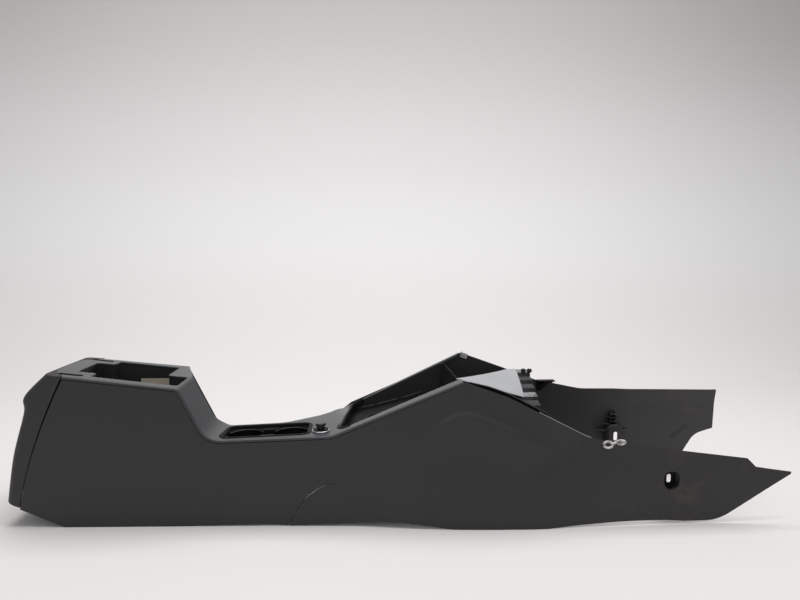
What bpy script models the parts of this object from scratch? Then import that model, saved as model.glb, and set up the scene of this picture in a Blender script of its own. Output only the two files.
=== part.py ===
# Centre console of a car, in the frame of the car: +X runs forward to the dashboard, +Y to the
# car's left side and +Z up. The origin lies under the middle of the part, on the surface that it
# stands on. The right side is the one that faces the viewer of the reference picture.

import math

import bpy
import bmesh
from mathutils import Matrix, Vector

MM = 0.001

# Wall thicknesses and clearances
PANEL_WALL = 2.8 * MM
TRIM_WALL = 2.6 * MM
INSERT_WALL = 2.2 * MM
GAP = 0.3 * MM
SEAT_GAP = 0.5 * MM
SEAM_GAP = 0.5 * MM

# Plan of the two sides: half widths along the length
SEAM_X = -524 * MM
REAR_HALF = 80 * MM
FLARE = 0.037
WING_TURN_X = 330 * MM
WING_TURN_LENGTH = 180 * MM
DRAFT = 5 * MM
REAR_CORNER_RADIUS = 26 * MM

# Lower front corner of the sides, which swells out over the floor
FOOT_SWELL = 15 * MM
FOOT_TOP_Z = 132 * MM
FOOT_REAR_X = -200 * MM
FOOT_FULL_X = 120 * MM
FOOT_FADE_X = 190 * MM
FOOT_END_X = 440 * MM
FOOT_LEFT_OVER = 0.15

# Soft shoulder below the rails
SHOULDER = 5 * MM
SHOULDER_DROP = 46 * MM
SHOULDER_REAR_X = -90 * MM
SHOULDER_END_X = 250 * MM
SHOULDER_BLEND = 90 * MM

# Top line of the console, seen from the side
BOX_REAR_X = -547 * MM
BOX_REAR_Z = 226 * MM
BOX_FRONT_X = -353 * MM
BOX_FRONT_Z = 205.5 * MM
BOX_FRONT_RADIUS = 9 * MM
LOW_REAR_X = -312.5 * MM
LOW_REAR_Z = 128 * MM
LOW_REAR_RADIUS = 26 * MM
LOW_FRONT_X = -128 * MM
LOW_FRONT_Z = 135.2 * MM
LOW_FRONT_RADIUS = 50 * MM
RAIL_SLOPE = math.radians(22.8)
RIGHT_CREST_X = 68 * MM
LEFT_CREST_X = 98 * MM
RAIL_END_X = 140 * MM
TRIM_END_GAP = 1.3 * MM

# The left rail starts lower than the right one and climbs to the same line
LEFT_RAIL_DROP = 11 * MM
LEFT_RAIL_Y = 92 * MM
LEFT_RAIL_START_X = -112 * MM
LEFT_RAIL_BLEND = 24 * MM

# Rear cover
COVER_BOTTOM_X = -600 * MM
COVER_BOTTOM_Z = 37 * MM
COVER_BULGE_X = -575 * MM
COVER_BULGE_Z = 190 * MM
COVER_WAIST_X = -574 * MM
COVER_WAIST_Z = 170 * MM
COVER_BOW_X = -590 * MM
COVER_BOW_Z = 104 * MM
SEAM_BOTTOM_X = -583.5 * MM
SEAM_BOTTOM_Z = 29 * MM
SEAM_PULL_X = -572 * MM
SEAM_PULL_Z = 115 * MM
HEEL_X = -512 * MM

# Bottom edge of the sides: rear rest, feature dip, arch and front rest
REST_END_X = -420 * MM
ARCH_POINTS = (
    (-235 * MM, 5.5 * MM),
    (-190 * MM, 3.4 * MM),
    (-105 * MM, 7.5 * MM),
    (-25 * MM, 10.8 * MM),
    (55 * MM, 2.2 * MM),
)
FRONT_REST_START_X = 95 * MM
FRONT_REST_END_X = 168 * MM
WING_ARCH_POINTS = (
    (240 * MM, 6.0 * MM),
    (310 * MM, 10.5 * MM),
    (385 * MM, 11.0 * MM),
)

# Right wing
RIGHT_BROW_X = 138 * MM
RIGHT_BROW_Z = 194.5 * MM
RIGHT_KNEE_X = 263 * MM
RIGHT_KNEE_Z = 131 * MM
RIGHT_WING_X = 322 * MM
RIGHT_WING_Z = 123 * MM
RIGHT_NOTCH_X = 511 * MM
RIGHT_NOTCH_Z = 100 * MM
NOTCH_DEPTH = 13.5 * MM
NOTCH_LENGTH = 14 * MM
RIGHT_TIP_X = 579 * MM
RIGHT_TIP_Z = 77.5 * MM
TOE_X = 462 * MM
TOE_Z = 8.5 * MM
TOE_RADIUS = 25 * MM
KNEE_RADIUS = 40 * MM
BROW_RADIUS = 120 * MM
WING_RADIUS = 60 * MM

# Left wing, taller and square-ended with a hollowed lower corner
LEFT_BROW_X = 177 * MM
LEFT_BROW_Z = 202 * MM
LEFT_KNEE_X = 245 * MM
LEFT_KNEE_Z = 176.5 * MM
LEFT_STEP_X = 276 * MM
LEFT_STEP_DROP = 6 * MM
LEFT_WING_X = 330 * MM
LEFT_WING_Z = 159.5 * MM
LEFT_END_X = 600 * MM
LEFT_END_Z = 151 * MM
LEFT_CORNER_Z = 78.5 * MM
LEFT_HOLLOW_X = 566 * MM
LEFT_HOLLOW_Z = 66 * MM
LEFT_LIP_X = 543 * MM
LEFT_LIP_Z = 34 * MM
LEFT_TOE_X = 516 * MM

# Hand brake recess on the left side
RECESS_SIDE_Y = 3 * MM
RECESS_LOW_Y = -7 * MM
RECESS_REAR_X = -378 * MM
RECESS_DIP_REAR_X = -322 * MM
RECESS_DIP_FRONT_X = -150 * MM
RECESS_FRONT_X = -84 * MM
RECESS_RIM_Z = 91 * MM
RECESS_FLOOR_Z = 84 * MM
TRIM_OVERHANG = 0.6 * MM
TRAY_WALL = 2.0 * MM
LEVER_SLOT_REAR_X = -285 * MM
LEVER_SLOT_FRONT_X = -165 * MM
LEVER_SLOT_Y = 44 * MM
LEVER_SLOT_WIDTH = 34 * MM

# Storage bin opening, narrow at the back and stepped at the front
BIN_REAR_X = -514 * MM
BIN_SHOULDER_X = -486 * MM
BIN_STEP_X = -390 * MM
BIN_FRONT_X = -359 * MM
BIN_RIGHT_Y = -61 * MM
BIN_RIGHT_FRONT_Y = -67 * MM
BIN_LEFT_Y = 65 * MM
BIN_NECK_RIGHT_Y = -36 * MM
BIN_NECK_LEFT_Y = 40 * MM
BIN_STEP_Y = -3 * MM
BIN_CORNER = 5 * MM
BIN_FLOOR_Z = 96 * MM
BIN_FLANGE = 4 * MM
BIN_INSET = 0.5 * MM

# Slots for the armrest hinge
HINGE_SLOT_REAR_X = -538 * MM
HINGE_SLOT_FRONT_X = -501 * MM
HINGE_SLOT_Y = 60 * MM
HINGE_SLOT_WIDTH = 3.8 * MM
HINGE_PLATE = 2 * MM
HINGE_PLATE_WIDTH = 26 * MM
HINGE_BAR_WIDTH = 14 * MM
HINGE_RISE = 9 * MM

# Cup holder
CUP_OPENING_REAR_X = -291 * MM
CUP_OPENING_FRONT_X = -162 * MM
CUP_OPENING_RIGHT_Y = -79 * MM
CUP_OPENING_LEFT_Y = -16 * MM
CUP_OPENING_CORNER = 13 * MM
CUP_RADIUS = 28.5 * MM
CUP_TAPER = 2.5 * MM
CUP_DEPTH = 58 * MM
CUP_SPACING = 70 * MM
CUP_BAY_WIDTH = 24 * MM
CUP_BAY_REACH = 17 * MM
CUP_FLANGE = 3.5 * MM
CUP_BAY_RISE = 22 * MM

# Power socket and lighter
SOCKET_X = -145 * MM
SOCKET_Y = -66 * MM
SOCKET_BORE = 10.4 * MM
SOCKET_BARREL_WALL = 0.6 * MM
SOCKET_RIM_RADIUS = 13.6 * MM
SOCKET_RIM_HEIGHT = 1.6 * MM
SOCKET_SLEEVE_WALL = 1.2 * MM
SOCKET_SEAT = 0.6 * MM
SOCKET_LENGTH = 40 * MM
PLUG_PLAY = 0.4 * MM
PLUG_WALL = 0.9 * MM
PLUG_LENGTH = 27 * MM
PLUG_RIM_RADIUS = 11.9 * MM
PLUG_RIM_HEIGHT = 1.0 * MM
PLUG_TRAVEL = 36 * MM
KNOB_RADIUS = 8.2 * MM
KNOB_WAIST = 5.7 * MM
KNOB_HEAD = 5 * MM
KNOB_TRAVEL = 4 * MM
KNOB_ENTRY = 5 * MM
KNOB_PLAY = 0.4 * MM
STEM_RADIUS = 3.2 * MM
COIL_CUP_RADIUS = 8.2 * MM
COIL_CUP_HEIGHT = 7 * MM

# Shift opening between the rails
SHIFT_RIGHT_Y = -78 * MM
SHIFT_LEFT_MARGIN = 10 * MM
SHIFT_REAR_RIGHT_X = -119 * MM
SHIFT_REAR_LEFT_X = -96 * MM
SHIFT_REAR_RADIUS = 16 * MM
SHIFT_BASE_X = -105 * MM
SHIFT_BASE_Z = 120 * MM
SHIFT_BASE_SLOPE = math.radians(13.5)
SHIFT_FRONT_X = 64 * MM
SHIFT_SLOT_REAR_X = -72 * MM
SHIFT_SLOT_FRONT_X = 38 * MM
SHIFT_SLOT_HALF = 34 * MM
SHIFT_RIM = 5 * MM
SHIFT_RIM_HEIGHT = 4 * MM

# Wing mounting cups with their rib trees
WING_MOUNT_X = 392 * MM
WING_MOUNT_Z = 67 * MM
CUP_HOLE_LENGTH = 21 * MM
CUP_HOLE_HEIGHT = 26 * MM
CUP_HOLE_RADIUS = 6 * MM
CUP_WALL = 2.2 * MM
MOUNT_FACE_Y = 93 * MM
SCREW_SLOT_X = 397 * MM
SCREW_SLOT_LENGTH = 14 * MM
SCREW_SLOT_WIDTH = 6.4 * MM
TREE_HEIGHT = 34 * MM
TREE_SPINE = 2.4 * MM
TREE_RIBS = 4
TREE_RIB_WALL = 1.6 * MM
TREE_ROOT_WIDTH = 60 * MM
TREE_ROOT_DEPTH = 15 * MM

# Front bracket between the rails, stepped down from the left side to the right
BRACKET_REAR_X = 194 * MM
BRACKET_DEPTH = 30 * MM
BRACKET_STEPS = 6
BRACKET_STEP_DROP = 7 * MM
BRACKET_TOP_Z = 199 * MM
BRACKET_HEIGHT = 28 * MM
BRACKET_SKIN = 2.4 * MM
BRACKET_SKEW = 0.15
BRACKET_END_Z = 150 * MM
BUFFER_RADIUS = 4.5 * MM
BUFFER_HEIGHT = 6 * MM
BUFFER_SPACING = 11 * MM

# Light sheet over the front of the shift opening
PLATE_WALL = 1.2 * MM
PLATE_REAR_X = 61 * MM
PLATE_RIGHT_Y = -76 * MM
PLATE_FRONT_X = 163 * MM
PLATE_FRONT_Z = 190 * MM
PLATE_TIP_Y = 80 * MM
PLATE_TIP_WIDTH = 16 * MM
PLATE_TIP_RISE = 2.6 * MM
PLATE_REAR_RISE = MM
PLATE_SAG = 3 * MM

# Bracket on the left side, at the step in its edge
DASH_BRACKET_LENGTH = 32 * MM
DASH_BRACKET_REACH = 17 * MM
DASH_BRACKET_DROP = 26 * MM
DASH_BRACKET_WALL = 2.2 * MM

# Carriers between the sides
REAR_BEAM_X = -560 * MM
REAR_BEAM_Z = 52 * MM
REAR_BEAM_DEPTH = 26 * MM
REAR_BEAM_HEIGHT = 18 * MM
MID_BEAM_X = -60 * MM
MID_BEAM_Z = 70 * MM
MID_BEAM_DEPTH = 34 * MM
MID_BEAM_HEIGHT = 20 * MM
BEAM_WALL = 2.6 * MM

# Bosses and screws
BOSS_RADIUS = 5.6 * MM
BOSS_LENGTH = 8 * MM
SCREW_SHANK = 1.9 * MM
SCREW_LENGTH = 9.5 * MM
SCREW_HEAD = 4 * MM
SCREW_HEAD_HEIGHT = 2.4 * MM
SCREW_PLAY = 0.4 * MM
COVER_SCREW_Y = 42 * MM

# Spring clips over the edges of the sides
CLIP_WALL = 0.9 * MM
CLIP_PLAY = 0.6 * MM
WING_CLIP_X = 299 * MM
WING_CLIP_LENGTH = 33 * MM
WING_CLIP_DEPTH = 11 * MM
WING_CLIP_SPLIT = 3 * MM
RAIL_CLIP_X = 107 * MM
RAIL_CLIP_LENGTH = 13 * MM
RAIL_CLIP_DEPTH = 8 * MM

# Paper label on the far wall of the bin
LABEL_X = -430 * MM
LABEL_Z = 178 * MM
LABEL_LENGTH = 48 * MM
LABEL_HEIGHT = 26 * MM
LABEL_PAPER = 0.3 * MM

ARC_STEP = math.radians(16)
STATION_STEP = 32 * MM
HEIGHT_STEP = 18 * MM
LARGE = 400 * MM
TALL = 280 * MM
STEP_BACK = 0.6 * MM


def clear_scene():
    for item in list(bpy.data.objects):
        bpy.data.objects.remove(item, do_unlink=True)


def new_collection(name):
    collection = bpy.data.collections.new(name)
    bpy.context.scene.collection.children.link(collection)
    return collection


def new_material(name, colour, roughness, metallic=0.0):
    material = bpy.data.materials.new(name)
    material.use_nodes = True
    shader = material.node_tree.nodes["Principled BSDF"]
    shader.inputs["Base Color"].default_value = (*colour, 1.0)
    shader.inputs["Roughness"].default_value = roughness
    shader.inputs["Metallic"].default_value = metallic
    return material


def ease(value):
    value = min(max(value, 0.0), 1.0)
    return value * value * (3 - 2 * value)


def blend(low, high, value):
    return low + (high - low) * value


# Outlines

def fillet_line(corners, closed=True):
    """Points through the corners (u, v, radius), each corner rounded by an arc."""
    points = []
    count = len(corners)
    for index, (u, v, radius) in enumerate(corners):
        corner = Vector((u, v))
        at_end = not closed and index in (0, count - 1)
        if radius == 0 or at_end:
            points.append(corner)
            continue
        to_before = Vector(corners[index - 1][:2]) - corner
        to_after = Vector(corners[(index + 1) % count][:2]) - corner
        half_opening = to_before.angle(to_after) / 2
        room = 0.48 * min(to_before.length, to_after.length)
        reach = min(radius / math.tan(half_opening), room)
        fitted = reach * math.tan(half_opening)
        start = corner + to_before.normalized() * reach
        end = corner + to_after.normalized() * reach
        inward = (to_before.normalized() + to_after.normalized()).normalized()
        centre = corner + inward * fitted / math.sin(half_opening)
        first = start - centre
        turn = -first.angle_signed(end - centre)
        steps = max(2, math.ceil(abs(turn) / ARC_STEP))
        for step in range(steps + 1):
            points.append(centre + Matrix.Rotation(turn * step / steps, 2) @ first)
    return points


def grown(corners, distance):
    """The closed corner list, counter-clockwise, with every side moved outwards."""
    result = []
    count = len(corners)
    for index, (u, v, radius) in enumerate(corners):
        corner = Vector((u, v))
        before = (corner - Vector(corners[index - 1][:2])).normalized()
        after = (Vector(corners[(index + 1) % count][:2]) - corner).normalized()
        out_before = Vector((before.y, -before.x))
        out_after = Vector((after.y, -after.x))
        middle = (out_before + out_after).normalized()
        moved = corner + middle * distance / middle.dot(out_before)
        convex = before.cross(after) > 0
        rounded = radius + distance if convex else radius - distance
        result.append((moved.x, moved.y, max(rounded, 0.4 * MM) if radius else 0))
    return result


def offset_line(points, distance):
    """The open line moved sideways, to the right of its direction."""
    moved = []
    for index, point in enumerate(points):
        before = points[max(index - 1, 0)]
        after = points[min(index + 1, len(points) - 1)]
        along_in = (point - before).normalized() if index else (after - point).normalized()
        along_out = (after - point).normalized() if index < len(points) - 1 else along_in
        side_in = Vector((along_in.y, -along_in.x))
        side_out = Vector((along_out.y, -along_out.x))
        middle = (side_in + side_out).normalized()
        moved.append(point + middle * distance / middle.dot(side_in))
    return moved


def curve_through(points, parts):
    """A smooth line through the points, as short straight stretches."""
    line = []
    padded = [points[0]] + list(points) + [points[-1]]
    for first, second, third, fourth in zip(padded, padded[1:], padded[2:], padded[3:]):
        for part in range(parts):
            t = part / parts
            pair = []
            for a, b, c, d in zip(first, second, third, fourth):
                bend = (2 * a - 5 * b + 4 * c - d) * t * t
                twist = (3 * b - a - 3 * c + d) * t * t * t
                pair.append(0.5 * (2 * b + (c - a) * t + bend + twist))
            line.append(Vector(pair))
    line.append(Vector(points[-1]))
    return line


def pulled_curve(start, pull, end, parts):
    """A curve from start to end that leaves and arrives towards the pull point."""
    line = []
    for part in range(parts + 1):
        t = part / parts
        point = Vector(start) * (1 - t) ** 2 + Vector(pull) * 2 * t * (1 - t) + Vector(end) * t * t
        line.append(point)
    return line


# The form of the console

def lateral(x, z):
    """Half width of the outer side at station x and height z."""
    beyond = max(x - WING_TURN_X, 0.0)
    if beyond < WING_TURN_LENGTH:
        turned_in = FLARE * beyond * beyond / (2 * WING_TURN_LENGTH)
    else:
        turned_in = FLARE * (beyond - WING_TURN_LENGTH / 2)
    plan = REAR_HALF + FLARE * (x - SEAM_X) - turned_in
    draft = DRAFT * (1 - z / BOX_REAR_Z)
    foot_run = ease((x - FOOT_REAR_X) / (FOOT_FULL_X - FOOT_REAR_X))
    foot_end = blend(1, FOOT_LEFT_OVER, ease((x - FOOT_FADE_X) / (FOOT_END_X - FOOT_FADE_X)))
    foot = FOOT_SWELL * ease(1 - z / FOOT_TOP_Z) * foot_run * foot_end
    shoulder_in = ease((x - SHOULDER_REAR_X) / SHOULDER_BLEND)
    shoulder_out = ease((SHOULDER_END_X - x) / SHOULDER_BLEND)
    below = (shoulder_line(x) - z) / SHOULDER_DROP
    return plan + draft + foot + SHOULDER * ease(below) * shoulder_in * shoulder_out


def shoulder_line(x):
    """Height of the right rail, which the shoulder follows."""
    if x < RIGHT_CREST_X:
        return rail_height(x)
    crest = rail_height(RIGHT_CREST_X)
    return blend(crest, RIGHT_KNEE_Z, (x - RIGHT_CREST_X) / (RIGHT_KNEE_X - RIGHT_CREST_X))


def rail_height(x):
    return LOW_FRONT_Z + math.tan(RAIL_SLOPE) * (x - LOW_FRONT_X)


def box_height(x):
    return blend(BOX_REAR_Z, BOX_FRONT_Z, (x - BOX_REAR_X) / (BOX_FRONT_X - BOX_REAR_X))


def low_height(x):
    return blend(LOW_REAR_Z, LOW_FRONT_Z, (x - LOW_REAR_X) / (LOW_FRONT_X - LOW_REAR_X))


def top_line():
    """The top line from the rear of the box to past the crests."""
    return fillet_line([
        (BOX_REAR_X, BOX_REAR_Z, 0),
        (BOX_FRONT_X, BOX_FRONT_Z, BOX_FRONT_RADIUS),
        (LOW_REAR_X, LOW_REAR_Z, LOW_REAR_RADIUS),
        (LOW_FRONT_X, LOW_FRONT_Z, LOW_FRONT_RADIUS),
        (RAIL_END_X, rail_height(RAIL_END_X), 0),
    ], closed=False)


def line_height(line, x):
    """Height at x of a line whose points run forward."""
    for before, after in zip(line, line[1:]):
        if before.x <= x <= after.x:
            return blend(before.y, after.y, (x - before.x) / (after.x - before.x))
    return line[0].y if x < line[0].x else line[-1].y


def left_drop(x, y):
    """How far the left rail lies below the right one."""
    climb = min(max((LEFT_CREST_X - x) / (LEFT_CREST_X - LEFT_RAIL_START_X), 0.0), 1.0)
    behind = ease((x - LOW_FRONT_X) / LEFT_RAIL_BLEND)
    return LEFT_RAIL_DROP * climb * behind * min(max(y / LEFT_RAIL_Y, 0.0), 1.0)


def split_long(line, longest):
    """The line with its long stretches divided."""
    result = [line[0]]
    for before, after in zip(line, line[1:]):
        parts = max(1, math.ceil((after - before).length / longest))
        for part in range(1, parts + 1):
            result.append(before.lerp(after, part / parts))
    return result


def bottom_line(last):
    """The bottom edge from the heel forward to the last point."""
    arch = [(REST_END_X, 0.0), *ARCH_POINTS, (FRONT_REST_START_X, 0.0)]
    wing = [(FRONT_REST_END_X, 0.0), *WING_ARCH_POINTS, last]
    return curve_through(arch, 3) + curve_through(wing, 3)


def seam_line():
    """The side seam between the rear cover and the panels, top to bottom."""
    top = (SEAM_X, box_height(SEAM_X))
    return pulled_curve(top, (SEAM_PULL_X, SEAM_PULL_Z), (SEAM_BOTTOM_X, SEAM_BOTTOM_Z), 8)


def heel_line():
    """The raised heel from the seam's foot to the rear rest."""
    slope_end = (HEEL_X, 0.0, 18 * MM)
    return fillet_line([(SEAM_BOTTOM_X, SEAM_BOTTOM_Z, 0), slope_end, (REST_END_X, 0.0, 0)],
                       closed=False)[:-1]


def under_trim(first, last, y=0.0):
    """The line just below the upper trim between two stations."""
    line = [Vector((p.x, p.y - left_drop(p.x, y))) for p in split_long(top_line(), 30 * MM)]
    lowered = offset_line(line, TRIM_WALL + GAP)
    inside = [p for p in lowered if first < p.x < last]
    start = Vector((first, line_height(lowered, first)))
    end = Vector((last, line_height(lowered, last)))
    return [start] + inside + [end]


# Making objects

PLANES = {
    "XY": Matrix.Identity(4),
    "XZ": Matrix(((1, 0, 0, 0), (0, 0, -1, 0), (0, 1, 0, 0), (0, 0, 0, 1))),
    "YZ": Matrix(((0, 0, 1, 0), (1, 0, 0, 0), (0, 1, 0, 0), (0, 0, 0, 1))),
}


def add_object(name, mesh, collection):
    item = bpy.data.objects.new(name, mesh)
    collection.objects.link(item)
    if collection.name == CUTTERS:
        item.hide_render = True
        item.display_type = 'WIRE'
    return item


def evaluated_mesh(item):
    depsgraph = bpy.context.evaluated_depsgraph_get()
    depsgraph.update()
    return bpy.data.meshes.new_from_object(item.evaluated_get(depsgraph))


def welded(mesh):
    bm = bmesh.new()
    bm.from_mesh(mesh)
    bmesh.ops.remove_doubles(bm, verts=bm.verts, dist=0.002 * MM)
    bmesh.ops.recalc_face_normals(bm, faces=bm.faces)
    bm.to_mesh(mesh)
    bm.free()
    return mesh


def prism(name, outline, plane, low, high, collection):
    """A flat outline drawn in the named plane and given thickness from low to high."""
    curve = bpy.data.curves.new(name, 'CURVE')
    curve.dimensions = '2D'
    curve.fill_mode = 'BOTH'
    curve.extrude = (high - low) / 2
    spline = curve.splines.new('POLY')
    spline.points.add(len(outline) - 1)
    for point, place in zip(spline.points, outline):
        point.co = (place[0], place[1], 0, 1)
    spline.use_cyclic_u = True
    drawn = bpy.data.objects.new(name, curve)
    collection.objects.link(drawn)
    middle = (high + low) / 2 if plane != "XZ" else -(high + low) / 2
    drawn.matrix_world = PLANES[plane] @ Matrix.Translation((0, 0, middle))
    mesh = welded(evaluated_mesh(drawn))
    mesh.transform(drawn.matrix_world)
    bpy.data.objects.remove(drawn)
    bpy.data.curves.remove(curve)
    mesh.name = name
    return add_object(name, mesh, collection)


def block(name, low, high, collection):
    """A box between two corners."""
    bm = bmesh.new()
    bmesh.ops.create_cube(bm, size=1)
    size = Vector(high) - Vector(low)
    bmesh.ops.scale(bm, vec=size, verts=bm.verts)
    bmesh.ops.translate(bm, vec=(Vector(high) + Vector(low)) / 2, verts=bm.verts)
    mesh = bpy.data.meshes.new(name)
    bm.to_mesh(mesh)
    bm.free()
    return add_object(name, mesh, collection)


def cone(name, base_radius, top_radius, height, collection, sides=32):
    """A cone or cylinder that stands on its own origin along its own Z."""
    bm = bmesh.new()
    bmesh.ops.create_cone(bm, cap_ends=True, segments=sides, radius1=base_radius,
                          radius2=top_radius, depth=height)
    bmesh.ops.translate(bm, vec=(0, 0, height / 2), verts=bm.verts)
    mesh = bpy.data.meshes.new(name)
    bm.to_mesh(mesh)
    bm.free()
    return add_object(name, mesh, collection)


def turned(name, profile, collection, sides=32):
    """A profile of (radius, height) pairs, outer side from top to bottom, spun about Z."""
    mesh = bpy.data.meshes.new(name)
    bm = bmesh.new()
    verts = [bm.verts.new((radius, 0, height)) for radius, height in profile]
    for first, second in zip(verts, verts[1:]):
        bm.edges.new((first, second))
    if profile[0][0] > 0:
        bm.edges.new((verts[-1], verts[0]))
    bm.to_mesh(mesh)
    bm.free()
    item = add_object(name, mesh, collection)
    spin = item.modifiers.new("Spin", 'SCREW')
    spin.steps = sides
    spin.render_steps = sides
    spin.use_merge_vertices = True
    spin.merge_threshold = 0.005 * MM
    return item


def sheet(name, rows, columns, place, collection, flip=False):
    """A grid whose vertex at (row, column) lies where place says."""
    bm = bmesh.new()
    bmesh.ops.create_grid(bm, x_segments=len(rows) - 1, y_segments=len(columns) - 1, size=0.5)
    for vert in bm.verts:
        row = rows[round((vert.co.x + 0.5) * (len(rows) - 1))]
        column = columns[round((vert.co.y + 0.5) * (len(columns) - 1))]
        vert.co = place(row, column)
    bmesh.ops.triangulate(bm, faces=bm.faces)
    if flip:
        bmesh.ops.reverse_faces(bm, faces=bm.faces)
    mesh = bpy.data.meshes.new(name)
    bm.to_mesh(mesh)
    bm.free()
    return add_object(name, mesh, collection)


def raised(item, height):
    """Makes a closed solid of a sheet by extruding it straight up."""
    bm = bmesh.new()
    bm.from_mesh(item.data)
    result = bmesh.ops.extrude_face_region(bm, geom=bm.faces[:])
    top = [part for part in result["geom"] if isinstance(part, bmesh.types.BMVert)]
    bmesh.ops.translate(bm, vec=(0, 0, height), verts=top)
    bmesh.ops.recalc_face_normals(bm, faces=bm.faces)
    bm.to_mesh(item.data)
    bm.free()
    return item


def thicken(item, thickness):
    shell = item.modifiers.new("Wall", 'SOLIDIFY')
    shell.thickness = thickness
    shell.offset = -1
    shell.use_even_offset = True
    return item


def combine(item, tool, operation):
    """Joins, cuts or limits an item by a tool: UNION, DIFFERENCE or INTERSECT."""
    step = item.modifiers.new(tool.name, 'BOOLEAN')
    step.operation = operation
    step.object = tool
    step.solver = 'EXACT'
    return item


def bevelled(item, width, segments=2, angle=40):
    edge = item.modifiers.new("Edges", 'BEVEL')
    edge.width = width
    edge.segments = segments
    edge.limit_method = 'ANGLE'
    edge.angle_limit = math.radians(angle)
    return item


def frozen(item):
    """The item with its modifiers worked out into its mesh."""
    mesh = evaluated_mesh(item)
    mesh.name = item.name
    item.modifiers.clear()
    item.data = mesh
    return item


def reshaped(item, rule):
    """Moves each vertex of a frozen mesh to where the rule puts it."""
    for vert in item.data.vertices:
        vert.co = rule(vert.co)
    return item


def finish(item, material, smooth_angle=35):
    item.data.materials.clear()
    item.data.materials.append(material)
    item.data.shade_smooth()
    item.data.set_sharp_from_angle(angle=math.radians(smooth_angle))
    return item


# Shared solids that shape the parts

def all_stations():
    """Stations along the length, close together where the sides bend."""
    last = max(RIGHT_TIP_X, LEFT_END_X) + STATION_STEP
    count = math.ceil((last - FOOT_REAR_X) / STATION_STEP)
    fine = [blend(FOOT_REAR_X, last, index / count) for index in range(count + 1)]
    behind = (SEAM_X + FOOT_REAR_X) / 2
    return [COVER_BOTTOM_X - STATION_STEP, SEAM_BOTTOM_X, SEAM_X, behind] + fine


def all_heights():
    step = HEIGHT_STEP
    return [step * (index - 1) for index in range(math.ceil(BOX_REAR_Z / step) + 3)]


def top_rows(drop):
    line = offset_line(split_long(top_line(), 15 * MM), drop)
    rear = line[0] + (line[0] - line[1]).normalized() * 30 * MM
    return [rear] + line


def top_surface(name, drop):
    """The top of the console lowered by drop, as an open sheet."""
    columns = [-LARGE / 2, 0, LEFT_RAIL_Y / 2, LEFT_RAIL_Y, LARGE / 2]

    def place(row, column):
        return (row.x, column, row.y - left_drop(row.x, column))
    return sheet(name, top_rows(drop), columns, place, cutters)


def top_layer(name, drop, thickness):
    return thicken(top_surface(name, drop), thickness)


def above_top(name, drop):
    return raised(top_surface(name, drop), LARGE)


def inside_space(name, margin):
    """The space between the two sides, kept clear of them by the margin."""

    def place(x, z):
        return (x, lateral(x, z) - PANEL_WALL - margin, z)
    space = sheet(name, all_stations(), all_heights(), place, cutters)
    bm = bmesh.new()
    bm.from_mesh(space.data)
    result = bmesh.ops.extrude_face_region(bm, geom=bm.faces[:])
    for part in result["geom"]:
        if isinstance(part, bmesh.types.BMVert):
            part.co.y = -part.co.y
    bmesh.ops.recalc_face_normals(bm, faces=bm.faces)
    bm.to_mesh(space.data)
    bm.free()
    return space


def side_edge(first, last, side, inset=0.0):
    """The outer edge of the top in plan between two stations, on the given side."""
    line = top_line()
    stations = [first] + [p.x for p in line if first < p.x < last] + [last]
    return [Vector((x, side * (lateral(x, line_height(line, x)) - inset))) for x in stations]


def bin_corners():
    return [
        (BIN_REAR_X, BIN_NECK_RIGHT_Y, BIN_CORNER),
        (BIN_SHOULDER_X, BIN_NECK_RIGHT_Y, BIN_CORNER),
        (BIN_SHOULDER_X, BIN_RIGHT_Y, BIN_CORNER),
        (BIN_FRONT_X, BIN_RIGHT_FRONT_Y, BIN_CORNER),
        (BIN_FRONT_X, BIN_STEP_Y, BIN_CORNER),
        (BIN_STEP_X, BIN_STEP_Y, BIN_CORNER),
        (BIN_STEP_X, BIN_LEFT_Y, BIN_CORNER),
        (BIN_SHOULDER_X, BIN_LEFT_Y, BIN_CORNER),
        (BIN_SHOULDER_X, BIN_NECK_LEFT_Y, BIN_CORNER),
        (BIN_REAR_X, BIN_NECK_LEFT_Y, BIN_CORNER),
    ]


def cup_corners():
    return [
        (CUP_OPENING_REAR_X, CUP_OPENING_RIGHT_Y, CUP_OPENING_CORNER),
        (CUP_OPENING_FRONT_X, CUP_OPENING_RIGHT_Y, CUP_OPENING_CORNER),
        (CUP_OPENING_FRONT_X, CUP_OPENING_LEFT_Y, CUP_OPENING_CORNER),
        (CUP_OPENING_REAR_X, CUP_OPENING_LEFT_Y, CUP_OPENING_CORNER),
    ]


def rail_inner_y(x):
    return lateral(x, line_height(top_line(), x)) - SHIFT_LEFT_MARGIN


def shift_corners():
    return [
        (SHIFT_REAR_RIGHT_X, SHIFT_RIGHT_Y, SHIFT_REAR_RADIUS),
        (SHIFT_FRONT_X, SHIFT_RIGHT_Y, 0),
        (SHIFT_FRONT_X, rail_inner_y(SHIFT_FRONT_X), 0),
        (SHIFT_REAR_LEFT_X, rail_inner_y(SHIFT_REAR_LEFT_X), SHIFT_REAR_RADIUS + 6 * MM),
    ]


def recess_corners(side_y):
    """The edge of the hand brake recess from its rear end to its front end."""
    return [
        (RECESS_REAR_X, side_y, 0),
        (BOX_FRONT_X, RECESS_SIDE_Y + 2 * MM, 10 * MM),
        (LOW_REAR_X + 9 * MM, RECESS_SIDE_Y, 8 * MM),
        (LOW_REAR_X + 24 * MM, RECESS_LOW_Y, 8 * MM),
        (-205 * MM, RECESS_LOW_Y + MM, 40 * MM),
        (-150 * MM, 27 * MM, 60 * MM),
        (-104 * MM, 76 * MM, 15 * MM),
        (RECESS_FRONT_X, side_y, 0),
    ]


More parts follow.
